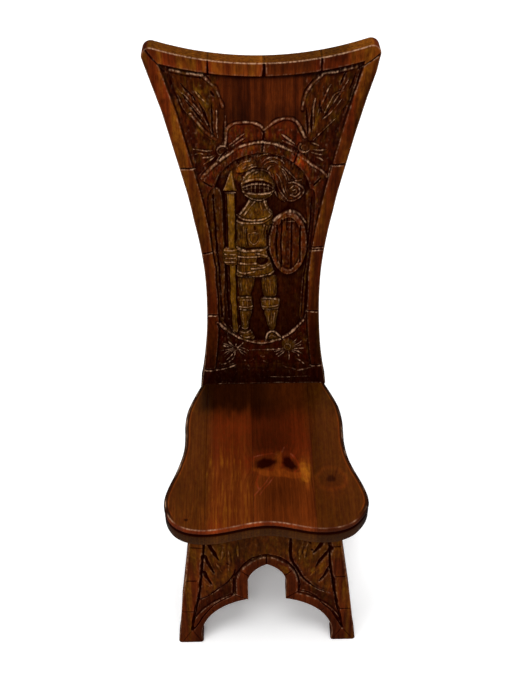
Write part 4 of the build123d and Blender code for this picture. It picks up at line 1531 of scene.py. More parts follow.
@dataclass
class LegBoard(LeaningBoard):
    """A splayed leg board with an arched opening, standing on the floor and housed in the seat."""

    title: str
    node_title: str
    plane: BoardPlane
    slot: str = "leg_wood"
    narrowing: float = 0.0
    carved: bool = True
    foot_half: float = 165.5
    top_half: float = 126.0
    foot_inner: float = 120.0
    foot_round: float = 5.0
    seat_underside: float = 347.0
    housing: float = 8.0
    thickness: float = 32.0
    ease: float = 1.8
    cusp: tuple[float, float] = (34.0, 131.0)
    throat_top: float = 184.0
    apex: float = 231.0
    rows: int = 137
    edge_wear: float = 0.4
    back_rough: float = 0.2
    back_seed: int = 76
    spans: tuple[int, ...] = (176, 80, 112)
    seams: tuple[float, ...] = (-52.0, 50.0)
    names: tuple[str, ...] = ("left", "middle", "right")
    strays: tuple[str, str] = (
        "0,1.2 60,1.2 120,2.7 200,1.7 300,1",
        "0,1 60,0.5 130,0 200,-1.9 270,-3.8 350,-4.5",
    )
    border_strays: tuple[str, str] = ("38,0 100,5 165,7.5 300,6", "38,0 101,3.6 185,4.4 273,1.4")

    @property
    def length(self) -> float:
        """Length of the board, from the floor to its housed end."""
        return self.seat_underside / math.cos(math.radians(self.plane.lean)) + self.housing

    def opening(self) -> Array:
        """Draw the opening.

        Returns:
            A polyline from the left foot over the apex to the right foot.
        """
        x, v = self.cusp
        foot = self.foot_inner - self.narrowing
        parts = (
            bulged((-foot, 0), (-x, v), -32.0, 200),
            np.array(((-x, v), (-x, self.throat_top))),
            bulged((-x, self.throat_top), (0, self.apex), -7.5, 100),
        )
        half = np.vstack([resample(part, span + 1)[:-1] for part, span in zip(parts, self.spans)])
        return np.vstack((half, ((0, self.apex),), half[::-1] * (-1, 1)))

    def outside(self, inset: float) -> Array:
        """Draw the outer edge over the same spans as the opening.

        Args:
            inset: how far its sides are moved in, in mm.

        Returns:
            A polyline from the left foot over the housed end to the right foot.
        """
        foot, top = (half - self.narrowing - inset for half in (self.foot_half, self.top_half))
        turn = np.interp(self.length * 0.55, (0, self.length), (-foot, -top))
        corners = np.array(
            ((-foot, 0), (turn, self.length * 0.55), (-top, self.length), (0, self.length))
        )
        half = np.vstack([resample(corners[k : k + 2], span + 1)[:-1] for k, span in enumerate(self.spans)])
        line = np.vstack((half, corners[3:], half[::-1] * (-1, 1)))
        line[:, 0] += self.carved * np.sign(line[:, 0]) * hand_drift(*line.T, *self.strays)
        return line

    def grid(self, inset: float) -> Array:
        """Span the board between its opening and its outer edge, both moved in by an inset.

        At a distance d from a foot's side, within its rounding r, the foot lifts by
        r - sqrt(r^2 - (r - d)^2).

        Args:
            inset: how far both are moved in, in mm.

        Returns:
            A (rows, cols, 2) grid.
        """
        inner = self.opening()
        inner = moved_in(inner, inset)
        inner[(0, -1), 1] = 0
        outer = self.outside(inset)
        share = np.linspace(0, 1, self.rows)[:, None]
        grid = (1 - share[..., None]) * inner + share[..., None] * outer
        near_side = np.minimum(share, 1 - share) * np.hypot(*(outer - inner).T)
        low = self.foot_round - np.minimum(near_side, self.foot_round)
        lift = self.foot_round - np.sqrt(self.foot_round**2 - low**2)
        grid[..., 1] += lift * np.clip(1 - grid[..., 1] / (6 * self.foot_round), 0, 1)
        return grid

    def carve(self, x: Array, v: Array) -> Relief:
        """Carve the board's face, or leave it planed.

        Args:
            x: (rows, cols) places across.
            v: (rows, cols) places along.

        Returns:
            The face's heights and finish.
        """
        across, along = x.ravel(), v.ravel()
        slope = math.atan((self.foot_half - self.top_half) / self.length)
        half = np.interp(along, (0, self.length), (self.foot_half, self.top_half))
        half += hand_drift(across, along, *self.strays)
        from_edge = (half - np.abs(across)) * math.cos(slope)
        from_side = from_edge - hand_drift(across, along, *self.border_strays)
        from_opening = to_line(across, along, self.opening()[::6])[0]
        edge = np.minimum(np.minimum(from_side, from_opening), 0.55 * along)
        cut = LegCarving(across, along, 0.5, edge=edge, from_edge=from_edge, from_side=from_side)
        cut.tool_marks(1.0, (2.6, 60.0), 0.07, 71)
        cut.finish["tone"] += 0.15 * cut.noise((8.0, 90.0), 72)
        if self.carved:
            cut.carve()
            cut.settle_finish(x.shape, 0.9)
        else:
            cut.tool_marks(1.0, (26.0, 70.0), 0.2, 73)
        return cut

    def shell(self) -> Shell:
        """Build the whole board as one closed shell.

        Returns:
            The shell.
        """
        grid = self.grid(self.ease)
        cut = self.carve(*np.moveaxis(grid, -1, 0))
        return self.close(cut, grid, self.grid(0.0))


# ------------------------------------------------------------------ seat
def clamped_spline(
    points: Array, start: tuple[float, float], end: tuple[float, float], per_span: int
) -> Array:
    """Draw the cubic spline through points, with unit tangents given at both ends.

    The knots are spaced by the chords h, and the slopes m solve m[i-1] / h[i-1] +
    2 (1 / h[i-1] + 1 / h[i]) m[i] + m[i+1] / h[i] = 3 (d[i-1] / h[i-1]^2 + d[i] / h[i]^2), where d
    are the steps between points.

    Args:
        points: (n, 2) points.
        start: way that it sets out.
        end: way that it arrives.
        per_span: points drawn on each span.

    Returns:
        An (m, 2) polyline.
    """
    step = np.diff(points, axis=0)
    chord = np.hypot(*step.T)
    count = len(points)
    system, known = np.eye(count), np.zeros((count, 2))
    known[0], known[-1] = np.array(start) / np.hypot(*start), np.array(end) / np.hypot(*end)
    inner = np.arange(1, count - 1)
    system[inner, inner - 1], system[inner, inner + 1] = 1 / chord[:-1], 1 / chord[1:]
    system[inner, inner] = 2 * (1 / chord[:-1] + 1 / chord[1:])
    known[1:-1] = 3 * (step[:-1] / chord[:-1, None] ** 2 + step[1:] / chord[1:, None] ** 2)
    slope = np.linalg.solve(system, known)
    t = np.linspace(0, 1, per_span, endpoint=False)[None, :, None]
    h = chord[:, None, None]
    a, b = points[:-1, None], points[1:, None]
    curve = (
        (2 * t**3 - 3 * t**2 + 1) * a
        + (t**3 - 2 * t**2 + t) * h * slope[:-1, None]
        + (3 * t**2 - 2 * t**3) * b
        + (t**3 - t**2) * h * slope[1:, None]
    )
    return np.vstack((curve.reshape(-1, 2), points[-1:]))


@dataclass(frozen=True)
class Knot:
    """A knot in the seat, by its place, its half sizes, its halo's width, its tilt and its blackness."""

    x: float
    reach: float
    half_x: float
    half_reach: float
    spread: float
    tilt: float
    black: float


@dataclass
class SeatTop(Relief):
    """The seat's top face, where v counts from the back line and so is mostly negative."""

    seams: tuple[float, ...] = field(kw_only=True)
    knots: tuple[Knot, ...] = field(kw_only=True)
    rim: Array = field(kw_only=True)
    base: Array = field(init=False)

    @property
    def plank(self) -> Array:
        """Return which plank each place is on, counted from the left."""
        return np.searchsorted(self.seams, self.x)

    def wear_in(self) -> None:
        """Give the top its planks, stain, knots, glow, painted shade towards the back board, and a rim
        with wear, painted highlight and painted shade, and settle its base tone.
        """
        self.tool_marks(1.0, (30.0, 60.0), 0.16, 81)
        self.tool_marks(1.0, (3.4, 70.0), 0.05, 82)
        self.base = -0.02 + 0.1 * self.noise((9.0, 160.0), 83) + 0.08 * self.noise((45.0, 90.0), 84)
        self.lay_planks()
        self.darken_behind()
        for knot in self.knots:
            self.set_knot(knot)
        self.light_glow()
        self.rub_rim()
        self.finish["tone"] += self.base

    def lay_planks(self) -> None:
        """Cut the seams, and tell the planks apart by their tone and their scratches."""
        x, reach, base, finish = self.x, -self.v, self.base, self.finish
        for seam in self.seams:
            self.height -= 0.22 * np.clip(1 - ((x - seam) / 1.3) ** 2, 0, 1)
            finish["glaze"] += 0.35 * np.clip(1 - ((x - seam) / 1.0) ** 2, 0, 1)
        left_edge = ease_in((-96 - x) / 22 + 0.5)
        right_edge = ease_in((x - 81) / (3 + 40 * ease_in((150 - reach) / 60)) + 0.5)
        base += 0.12 - 0.5 * left_edge - 0.5 * right_edge
        finish["gilt"] += 0.16 * (left_edge + right_edge)
        finish["rust"] += 0.3 * (1 - left_edge) * (1 - right_edge) * ease_in((215 - reach) / 60)
        finish["rust"] += 0.35 * right_edge * hill(x, 112, 20) * hill(reach, 240, 26)
        scratches = np.clip(self.noise((1.6, 26.0), 86), 0, 1) * ease_in((reach - 110) / 70)
        base += (0.6 * scratches - 0.12) * (1 - right_edge) + 0.1 * self.noise((2.4, 90.0), 88)
        finish["gilt"] += 0.3 * scratches * (self.plank == 1)

    def darken_behind(self) -> None:
        """Darken the top towards the back board, partly as painted shade and partly as darker wood, and
        light the golden plank beside it.
        """
        x, reach, base, finish = self.x, -self.v, self.base, self.finish
        # Towards the back board: partly painted shade, partly darker wood.
        behind = ease_in((88 - reach + 20 * self.noise((9.0, 40.0), 85)) / 48)
        base -= 2.2 * behind * ease_in((x + 132) / 34) * (0.3 + 0.7 * ease_in((70 - x) / 130))
        base -= 0.5 * hill(reach, 155, 45) * hill(x, -5, 55)
        base += 0.4 * hill(x, -84, 19) * ease_in((reach - 150) / 60)
        heart = (self.plank == 2) * ease_in((172 - reach) / 26) * (0.35 + 0.65 * ease_in((54 - x) / 26))
        base -= 0.6 * heart * (1 - behind)
        golden = hill(x, 68, 11, 4) * hill(reach, 205, 24) * (self.plank == 2)
        base += 0.8 * golden + 0.25 * hill(x, 66, 10) * (self.plank == 2) * ease_in((reach - 60) / 90)
        finish["gilt"] += 0.3 * golden
        base += 0.2 * hill(x, -38, 8) * ease_in((reach - 50) / 40)
        base += 0.2 * hill(x, -90, 22) * hill(reach, 300, 40)
        finish["rust"] += 0.3 * hill(x, -90, 26) * hill(reach, 318, 16)

    def set_knot(self, knot: Knot) -> None:
        """Set one knot, with its halo and its rings, and bend the grain round it.

        Args:
            knot: the knot.
        """
        x, reach, base, finish = self.x, -self.v, self.base, self.finish
        along = reach - knot.reach
        aside = x - knot.x - knot.tilt * along
        away = np.hypot(aside / knot.half_x, along / knot.half_reach)
        angle = np.arctan2(along, aside)
        away *= 1 + (0.14 * np.sin(3 * angle + knot.x) + 0.07 * np.sin(7 * angle)) * np.exp(-away / 3)
        finish["knot"] = np.maximum(finish["knot"], knot.black * ease_in((1.1 - away) / 0.5))
        halo = hill(away, knot.spread, 0.4) * (0.75 + 0.25 * np.sin(2 * angle + 1.0))
        rings = hill(away, knot.spread, 1.4) * np.sin(6.0 * away)
        base += 0.35 * (knot.spread - 0.9) * halo + 0.1 * rings - 0.5 * hill(away, 0, 1.4)
        finish["rust"] += 0.55 / knot.spread * halo
        bend = np.tanh((x - knot.x) / knot.half_x) * hill(away, 0, 2.2)
        finish["shift"] += 1.2 * knot.half_x * bend
        self.height -= 0.18 * ease_in(1.2 - away) * (1 - 0.3 * np.sin(9 * away))

    def light_glow(self) -> None:
        """Lay the glow between the knots, the scratched outlines round it and a dark streak."""
        glow = "22,-166 22,-186 18,-208; -16,-198 4,-208 26,-208; 26,-204 46,-213 64,-210"
        self.strokes(glow, 15.0, 0.03, tone=0.45, rust=0.4, gilt=0.15)
        self.strokes("62,-190 68,-222", 15.0, 0.03, tone=0.5, rust=0.1, gilt=0.3)
        outlines = (
            "-20,-172 -9,-168 9,-165 19,-167; 44,-166 53,-180 56,-196 50,-206; 33,-152 29,-162; -13,-214 "
            "-17,-226 -12,-240"
        )
        self.strokes(outlines, 4.0, 0.04, tone=0.4, rust=0.5, wear=0.14)
        self.strokes(
            "6,-215 -8,-238 -20,-253; 12,-217 0,-236 -11,-252",
            2.6, 0.03, tone=0.5, rust=0.5, wear=0.14,
        )
        self.strokes("76,-196 78,-240 81,-300", 3.0, -0.04, glaze=0.4)

    def rub_rim(self) -> None:
        """Light a line along the rim of the sides, partly wear and partly a painted highlight at the
        bead's arris, paint shade on the rim's outer edge there, and darken patches of the top, near the
        back board partly as painted shade.
        """
        x, reach, base, finish = self.x, -self.v, self.base, self.finish
        base -= 0.55 * hill(x, 22, 34, 4) * hill(reach, 252, 34)
        # Darker near the back board: partly painted shade.
        base -= 0.55 * ease_in((100 - reach) / 50) * ease_in((x + 30) / 20) * ease_in((100 - x) / 30)
        # Along the sides: a pale line of wear and painted highlight, and painted shade at the rim's outer
        # edge.
        beside, line = ease_in((302 - reach) / 20), hill(self.rim, 3.4, 1.2)
        base += beside * (1.0 * line - 1.6 * hill(self.rim, 0, 2.2))
        finish["rust"] += 0.45 * beside * line
        base -= 0.4 * hill(x, 88, 15) * ease_in((260 - reach) / 60)
        base -= 0.35 * hill(x, 8, 32) * ease_in((190 - reach) / 40) * ease_in((reach - 30) / 20)
        # Darker near the back board on the left: partly painted shade.
        base -= 0.45 * ease_in((100 - reach) / 30) * ease_in((15 - x) / 25) * ease_in((x + 118) / 25)
        finish["gilt"] += 0.12 * ease_in((90 - reach) / 50)


@dataclass
class ShapedSeat(GluedBoard):
    """The plank seat, with a beaded edge over a quirk and a plain fascia."""

    title: str = "seat_plank"
    node_title: str = "seat_stave"
    slot: str = "seat_wood"
    back_line: float = 113.63
    top: float = 385.0
    thickness: float = 38.0
    base_half: float = 114.0
    tail: float = 50.0
    tail_radius: float = 14.0
    side_points: str = "114,0 139,104 138,142 150,200 168.5,268 152,307 100,324 0,309"
    front_corner: int = 5
    rear_slope: float = 0.38
    bead_radius: float = 4.6
    rows: int = 305
    cols: int = 297
    seams: tuple[float, ...] = (-102.0, -22.0, 81.0)
    names: tuple[str, ...] = ("outer_left", "left", "right", "outer_right")
    strays: tuple[str, str] = (
        "-50,0 0,1 60,3.5 115,1.3 180,3 240,1.5 330,1.2",
        "0,0 55,2.5 110,0 150,0.8 240,-0.2 272,1 286,-1 300,-4 330,-7",
    )
    quirk_depth: float = 6.6
    quirk_radius: float = 2.8
    fascia: str = "2.9,11.4 2.6,12.4 1.5,13.4 0.6,14.6 0.3,17 0.3,24 0.3,30 0.3,35.8 0.8,37.2 2.4,38"
    knots: tuple[Knot, ...] = (
        Knot(-1.0, 186.0, 18.5, 12.5, 1.7, -0.45, 0.95),
        Knot(40.0, 187.0, 11.0, 16.0, 1.6, 0.35, 0.95),
        Knot(110.0, 221.0, 8.5, 8.0, 2.9, 0.0, 0.6),
        Knot(-132.0, 300.0, 3.5, 2.5, 1.8, 0.0, 0.8),
    )

    def half_outline(self) -> tuple[Array, Array, Array]:
        """Draw the right half: its front from the middle, its side, and its tail to the middle.

        Returns:
            Three polylines of x and the reach in front of the back line.
        """
        points = path(self.side_points)
        per_span = 24
        edge = clamped_spline(points, (self.rear_slope, 1), (-1, 0), per_span)[::-1]
        turn = (len(points) - 1 - self.front_corner) * per_span
        quarter = np.linspace(0, np.pi / 2, 17)
        hub = (self.base_half - self.tail_radius, self.tail_radius - self.tail)
        arc = ellipse(hub, self.tail_radius, -quarter)
        side = np.vstack((edge[turn:], ((self.base_half, -10.0),), arc[:9]))
        return edge[: turn + 1], side, np.vstack((arc[8:], ((0.0, -self.tail),)))

    def outline(self, inset: float) -> tuple[Array, Array, Array, Array]:
        """Draw the whole outline.

        Args:
            inset: how far it is moved in, in mm.

        Returns:
            Its front, right, rear and left lines.
        """
        front, side, tail = self.half_outline()
        half_front = resample(front, self.cols // 2 + 1)
        right = resample(side, self.rows)
        half_tail = resample(tail, self.cols // 2 + 1)
        flip = np.array((-1, 1))
        loop = np.vstack((
            (half_front * flip)[:0:-1], half_front[:-1], right[:-1], half_tail[:-1],
            (half_tail * flip)[:0:-1], (right * flip)[:0:-1],
        )) * (1, -1)
        way = np.roll(loop, -1, axis=0) - np.roll(loop, 1, axis=0)
        way /= np.hypot(*way.T)[:, None]
        loop = loop + inset * np.stack((-way[:, 1], way[:, 0]), -1)
        loop[:, 0] += np.sign(loop[:, 0]) * hand_drift(loop[:, 0], -loop[:, 1], *self.strays)
        loop = np.vstack((loop, loop[:1]))
        a, b, c = self.cols, self.cols + self.rows - 1, 2 * self.cols + self.rows - 2
        return loop[:a], loop[a - 1 : b], loop[b - 1 : c][::-1], loop[c - 1 :][::-1]

    def shell(self) -> Shell:
        """Build the whole seat as one closed shell.

        Its side runs through the bead's two quarter rounds, the coved quirk and the fascia.

        Returns:
            The shell.
        """
        lines = self.outline(self.bead_radius)
        grid = coons(*lines)
        x, y = grid[..., 0], grid[..., 1]
        across, along = x.ravel(), y.ravel()
        rim = np.minimum(*(to_line(across, along, side[::8])[0] for side in lines[1::2]))
        cut = SeatTop(across, along, seams=self.seams, knots=self.knots, rim=rim)
        cut.wear_in()
        height = cut.height.reshape(x.shape)
        i, j = rim_order(self.rows, self.cols)
        quarter = np.linspace(0, np.pi / 2, 7)
        r = self.bead_radius
        over = np.stack((r * (1 - np.sin(quarter)), r * (1 - np.cos(quarter))), -1)[1:]
        q = self.quirk_radius
        under = np.stack((q * (1 - np.cos(quarter)), self.quirk_depth + q * np.sin(quarter)), -1)
        profile = np.vstack((over, under, path(self.fascia)))
        rings, wear = [], []
        for inset, depth in profile:
            ring = coons(*self.outline(inset))[i, j]
            settled = height[i, j] * max(0.0, 1 - depth / r)
            rings.append(self.place(ring[:, 0], ring[:, 1], settled - depth))
            # The bead's top arris: wear with a painted highlight.
            wear.append(0.5 if 0.1 < depth < 1.0 else 0.0)
        face = self.place(x, y, height)
        back = self.place(x, y, np.full(x.shape, -self.thickness))
        shell = close_board(face, rings, back, cut.finish, np.array(wear))
        across, behind = shell.points[:, 0] / MM, shell.points[:, 1] / MM
        depth = (self.top * MM - shell.points[:, 2]) / MM
        # The quirk under the bead: glaze with painted shade below the bead's overhang.
        in_quirk = ease_in((depth - 6.0) / 3.0) * ease_in((18.0 - depth) / 4.0)
        below = ease_in((depth - 5) / 8)
        finish = shell.finish
        finish["glaze"] = np.clip(finish["glaze"] + 0.95 * in_quirk, 0, 1)
        finish["gilt"] = np.clip(finish["gilt"] + 0.35 * below, 0, 1)
        on_side = ease_in((behind - self.back_line + 292) / 16) * ease_in((depth - 0.2) / 0.8)
        on_right, rough = ease_in((across - 20) / 90), value_noise(across, behind, (13.0, 13.0), 87)
        bead = (1 - below) * (depth > 0.6) * (1 - on_side)
        # The bead's painted highlight and tone fade towards the right, as light from the left, with random
        # rubbing.
        finish["wear"] *= np.clip(0.75 + 1.1 * rough - 0.45 * on_right, 0.05, 1.6)
        finish["tone"] += bead * (0.15 + 0.5 * rough - 0.75 * on_right)
        # A darker fascia below the bead, and painted shade on the bead's sides.
        finish["tone"] -= 1.5 * np.maximum(below, on_side)
        finish["rust"] += 0.3 * (1 - below) * (depth > 0.6) * (1 - 0.8 * on_right)
        return shell

    def place(self, x: Array, y: Array, height: Array) -> Array:
        """Turn places on the seat, in mm, into the frame's metres."""
        return np.stack((x, self.back_line + y, self.top + height), axis=-1) * MM


# ------------------------------------------------------------------ finishes
def stain_colour(red: float, green: float, blue: float) -> tuple[float, ...]:
    """Turn a display colour of 0 to 255 into the linear light that a shader takes.

    A share c over 0.04 becomes ((c + 0.055) / 1.055)^2.4, and a smaller one c / 12.92.

    Args:
        red: 0 to 255.
        green: 0 to 255.
        blue: 0 to 255.

    Returns:
        Red, green, blue and an alpha of 1.
    """
    share = np.array((red, green, blue)) / 255
    light = np.where(share > 0.04, ((share + 0.055) / 1.055) ** 2.4, share / 12.92)
    return (*light.tolist(), 1.0)


class Nodes:
    """The node tree of a material or of the world, with short calls to fill it."""

    def __init__(self, owner: bpy.types.Material | bpy.types.World, output: str = "OutputMaterial") -> None:
        """Start with only the output.

        Args:
            owner: the material or the world.
            output: type of the output node, without its ShaderNode prefix.
        """
        owner.use_nodes = True
        self.owner, self.tree = owner, owner.node_tree
        self.tree.nodes.clear()
        self.output = self.add(output)

    def add(self, kind: str, inputs: dict | None = None, **settings: object) -> bpy.types.Node:
        """Add a node, set its properties, and set or link its inputs.

        Args:
            kind: the node's type, without its ShaderNode prefix.
            inputs: socket name or number to a value or another node's output.
            settings: the node's own properties.

        Returns:
            The node.
        """
        node = self.tree.nodes.new("ShaderNode" + kind)
        for key, value in settings.items():
            setattr(node, key, value)
        for key, value in (inputs or {}).items():
            if isinstance(value, bpy.types.NodeSocket):
                self.tree.links.new(value, node.inputs[key])
            else:
                node.inputs[key].default_value = value
        return node

    def math(
        self, operation: str, first: object, second: object = 0.0, clamp: bool = False
    ) -> bpy.types.NodeSocket:
        """Add a math node and give its output."""
        return self.add("Math", {0: first, 1: second}, operation=operation, use_clamp=clamp).outputs[0]

    def multiply_add(self, first: object, second: object, third: object) -> bpy.types.NodeSocket:
        """Give first * second + third."""
        return self.add("Math", {0: first, 1: second, 2: third}, operation="MULTIPLY_ADD").outputs[0]

    def mix(self, share: object, first: object, second: object, blend: str = "MIX") -> bpy.types.NodeSocket:
        """Mix two colours by a share and give the result."""
        node = self.add("Mix", {0: share, 6: first, 7: second}, data_type="RGBA", blend_type=blend)
        return node.outputs[2]

    def is_seen(self) -> bpy.types.NodeSocket:
        """Tell rays that look at things from rays that only carry light.

        Returns:
            1 for camera, glossy and transmission rays, otherwise 0.
        """
        rays = self.add("LightPath").outputs
        seen = self.math("MAXIMUM", rays["Is Camera Ray"], rays["Is Glossy Ray"])
        return self.math("MAXIMUM", seen, rays["Is Transmission Ray"])

    def close(self, shader: bpy.types.Node) -> bpy.types.Material | bpy.types.World:
        """Link the last shader to the output, and give what owns the tree."""
        self.tree.links.new(shader.outputs[0], self.output.inputs[0])
        return self.owner

    def layer(self, name: str) -> bpy.types.NodeSocket:
        """Read one of the finish fields that the carving left on the mesh."""
        return self.add("Attribute", attribute_name=name).outputs["Fac"]


@dataclass(frozen=True)
class StainedPine:
    """Pine under dark stain and golden rub, with glaze and painted shade in the hollows, and worn wax
    and painted highlights on the ridges.
    """

    name: str
    turn: tuple[float, float, float]
    dark: tuple[int, int, int] = (40, 11, 1)
    middle: tuple[int, int, int] = (68, 23, 4)
    light: tuple[int, int, int] = (104, 44, 11)
    gold: tuple[int, int, int] = (104, 66, 8)
    red: tuple[int, int, int] = (96, 24, 5)
    # Pale colour of worn wax and of painted highlights.
    worn_and_highlight: tuple[int, int, int] = (186, 144, 112)
    black: tuple[int, int, int] = (22, 0, 0)
    fibres: float = 170.0
    bands: float = 17.0
    banding: float = 0.05
    contrast: float = 0.75
    blotch: float = 1.8
    bump: float = 0.45
    paleness: float = 0.74
    varnish: float = 0.02

    def material(self) -> bpy.types.Material:
        """Build the material: stretched fibres, growth bands and pores under the finish fields.

        Returns:
            The material.
        """
        n = Nodes(bpy.data.materials.new(self.name))
        place = n.add("TexCoord").outputs["Object"]
        drawn = n.add("CombineXYZ", {0: n.math("MULTIPLY", n.layer("shift"), MM)}).outputs[0]
        bent = n.add("VectorMath", {0: place, 1: drawn}, operation="ADD").outputs[0]
        along = n.add("Mapping", {0: bent, "Rotation": self.turn}).outputs[0]
        fibre = self.streaks(n, along, (self.fibres, self.fibres, 5.0), 6.0, 0.2)
        cloud = self.streaks(n, along, (17.0, 17.0, 5.0), 3.0, 0.4)
        pores = self.streaks(n, along, (1000.0, 1000.0, 40.0), 2.0, 0.0)
        grime = self.streaks(n, along, (240.0, 240.0, 90.0), 4.0, 0.0)
        slow = n.add("Mapping", {0: along, "Scale": (1.0, 1.0, 0.05)}).outputs[0]
        growth = n.add(
            "TexWave",
            {0: slow, "Scale": self.bands, "Distortion": 6.0, "Detail": 2.0, "Detail Scale": 0.5},
            wave_type="BANDS", bands_direction="X", wave_profile="SAW",
        ).outputs[1]
        grain = ((fibre, self.contrast), (growth, self.banding), (cloud, 0.45), (pores, 0.3))
        value = self.about_middle(n, 0.5, *grain)
        ramp = n.add("ValToRGB", {0: value})
        stops = ramp.color_ramp.elements
        stops[0].position, stops[0].color = 0.28, stain_colour(*self.dark)
        stops[1].position, stops[1].color = 0.8, stain_colour(*self.light)
        stops.new(0.5).color = stain_colour(*self.middle)
        patchy = self.about_middle(n, 1.0, (grime, 3.0), (fibre, 1.5))
        rust = n.math("MULTIPLY", n.layer("rust"), patchy, clamp=True)
        gilt = n.math("MULTIPLY", n.layer("gilt"), patchy, clamp=True)
        glaze = n.math("MULTIPLY", n.layer("glaze"), 0.96, clamp=True)
        knot = n.math("MULTIPLY", n.layer("knot"), 0.94, clamp=True)
        wear = n.math("MULTIPLY", n.layer("wear"), self.about_middle(n, 0.8, (grime, 4.0)), clamp=True)
        colour = n.mix(gilt, n.mix(rust, ramp.outputs[0], stain_colour(*self.red)), stain_colour(*self.gold))
        tone = n.math("SUBTRACT", n.layer("tone"), self.blotch / 2)
        lift = n.math("POWER", 2.0, n.multiply_add(grime, self.blotch, tone))
        colour = n.add("VectorMath", {0: colour, "Scale": lift}, operation="SCALE").outputs[0]
        # Glaze with its painted shade, and knots, go towards black.
        colour = n.mix(n.math("MAXIMUM", glaze, knot), colour, stain_colour(*self.black))
        # Worn wax and painted highlights, in one pale colour.
        rubbed_and_highlight = n.math("MULTIPLY", n.math("POWER", wear, 1.3), self.paleness)
        colour = n.mix(rubbed_and_highlight, colour, stain_colour(*self.worn_and_highlight))
        rough = self.about_middle(n, 0.5, (fibre, 0.3), (grime, 0.25))
        relief = self.about_middle(n, 0.5, (fibre, 0.6), (pores, 0.35), (grime, 0.3))
        bump = n.add("Bump", {"Height": relief, "Strength": self.bump, "Distance": 0.0006}).outputs[0]
        coat = n.math("MULTIPLY", n.math("SUBTRACT", 1.0, n.layer("glaze"), clamp=True), self.varnish)
        surface = {"Base Color": colour, "Roughness": rough, "Normal": bump, "Specular IOR Level": 0.0}
        return n.close(n.add("BsdfPrincipled", surface | {"Coat Weight": coat, "Coat Roughness": 0.24}))

    def streaks(
        self,
        n: Nodes,
        along: bpy.types.NodeSocket,
        scale: tuple[float, float, float],
        detail: float,
        distortion: float,
    ) -> bpy.types.NodeSocket:
        """Give noise stretched along the grain.

        Args:
            n: the tree.
            along: place, turned so that Z runs along the grain.
            scale: cells to a metre along each axis.
            detail: how many finer layers it has.
            distortion: how much its cells are bent.

        Returns:
            The noise, from 0 to 1.
        """
        stretched = n.add("Mapping", {0: along, "Scale": scale}).outputs[0]
        knobs = {0: stretched, "Scale": 1.0, "Detail": detail, "Roughness": 0.62, "Distortion": distortion}
        return n.add("TexNoise", knobs).outputs[0]

    def about_middle(
        self, n: Nodes, start: float, *parts: tuple[bpy.types.NodeSocket, float]
    ) -> bpy.types.NodeSocket:
        """Add up patterns around a value: start + sum of (pattern - 0.5) * amount.

        Args:
            n: the tree.
            start: the value where all patterns are at 0.5.
            parts: each a pattern and its amount.

        Returns:
            The sum.
        """
        total: object = start - sum(amount for _, amount in parts) / 2
        for pattern, amount in parts:
            total = n.multiply_add(pattern, amount, total)
        return total


@dataclass(frozen=True)
class ScrewSteel:
    """Plain steel screws, dulled by age."""

    name: str = "screw_steel"
    bright: tuple[int, int, int] = (150, 148, 142)
    stained: tuple[int, int, int] = (84, 72, 60)

    def material(self) -> bpy.types.Material:
        """Build the material: metal with turned marks and brown stains.

        Returns:
            The material.
        """
        n = Nodes(bpy.data.materials.new(self.name))
        place = n.add("TexCoord").outputs["Object"]
        spots = n.add("TexNoise", {0: place, "Scale": 420.0, "Detail": 4.0}).outputs[0]
        marks = n.add("TexNoise", {0: place, "Scale": 2400.0, "Detail": 2.0}).outputs[0]
        share = n.math("SUBTRACT", n.math("MULTIPLY", spots, 3.0), 1.2, clamp=True)
        colour = n.mix(share, stain_colour(*self.bright), stain_colour(*self.stained))
        rough = n.math("ADD", n.math("MULTIPLY", spots, 0.4), 0.2)
        bump = n.add("Bump", {"Height": marks, "Strength": 0.3, "Distance": 0.0002}).outputs[0]
        surface = {"Base Color": colour, "Roughness": rough, "Normal": bump, "Metallic": 1.0}
        return n.close(n.add("BsdfPrincipled", surface))


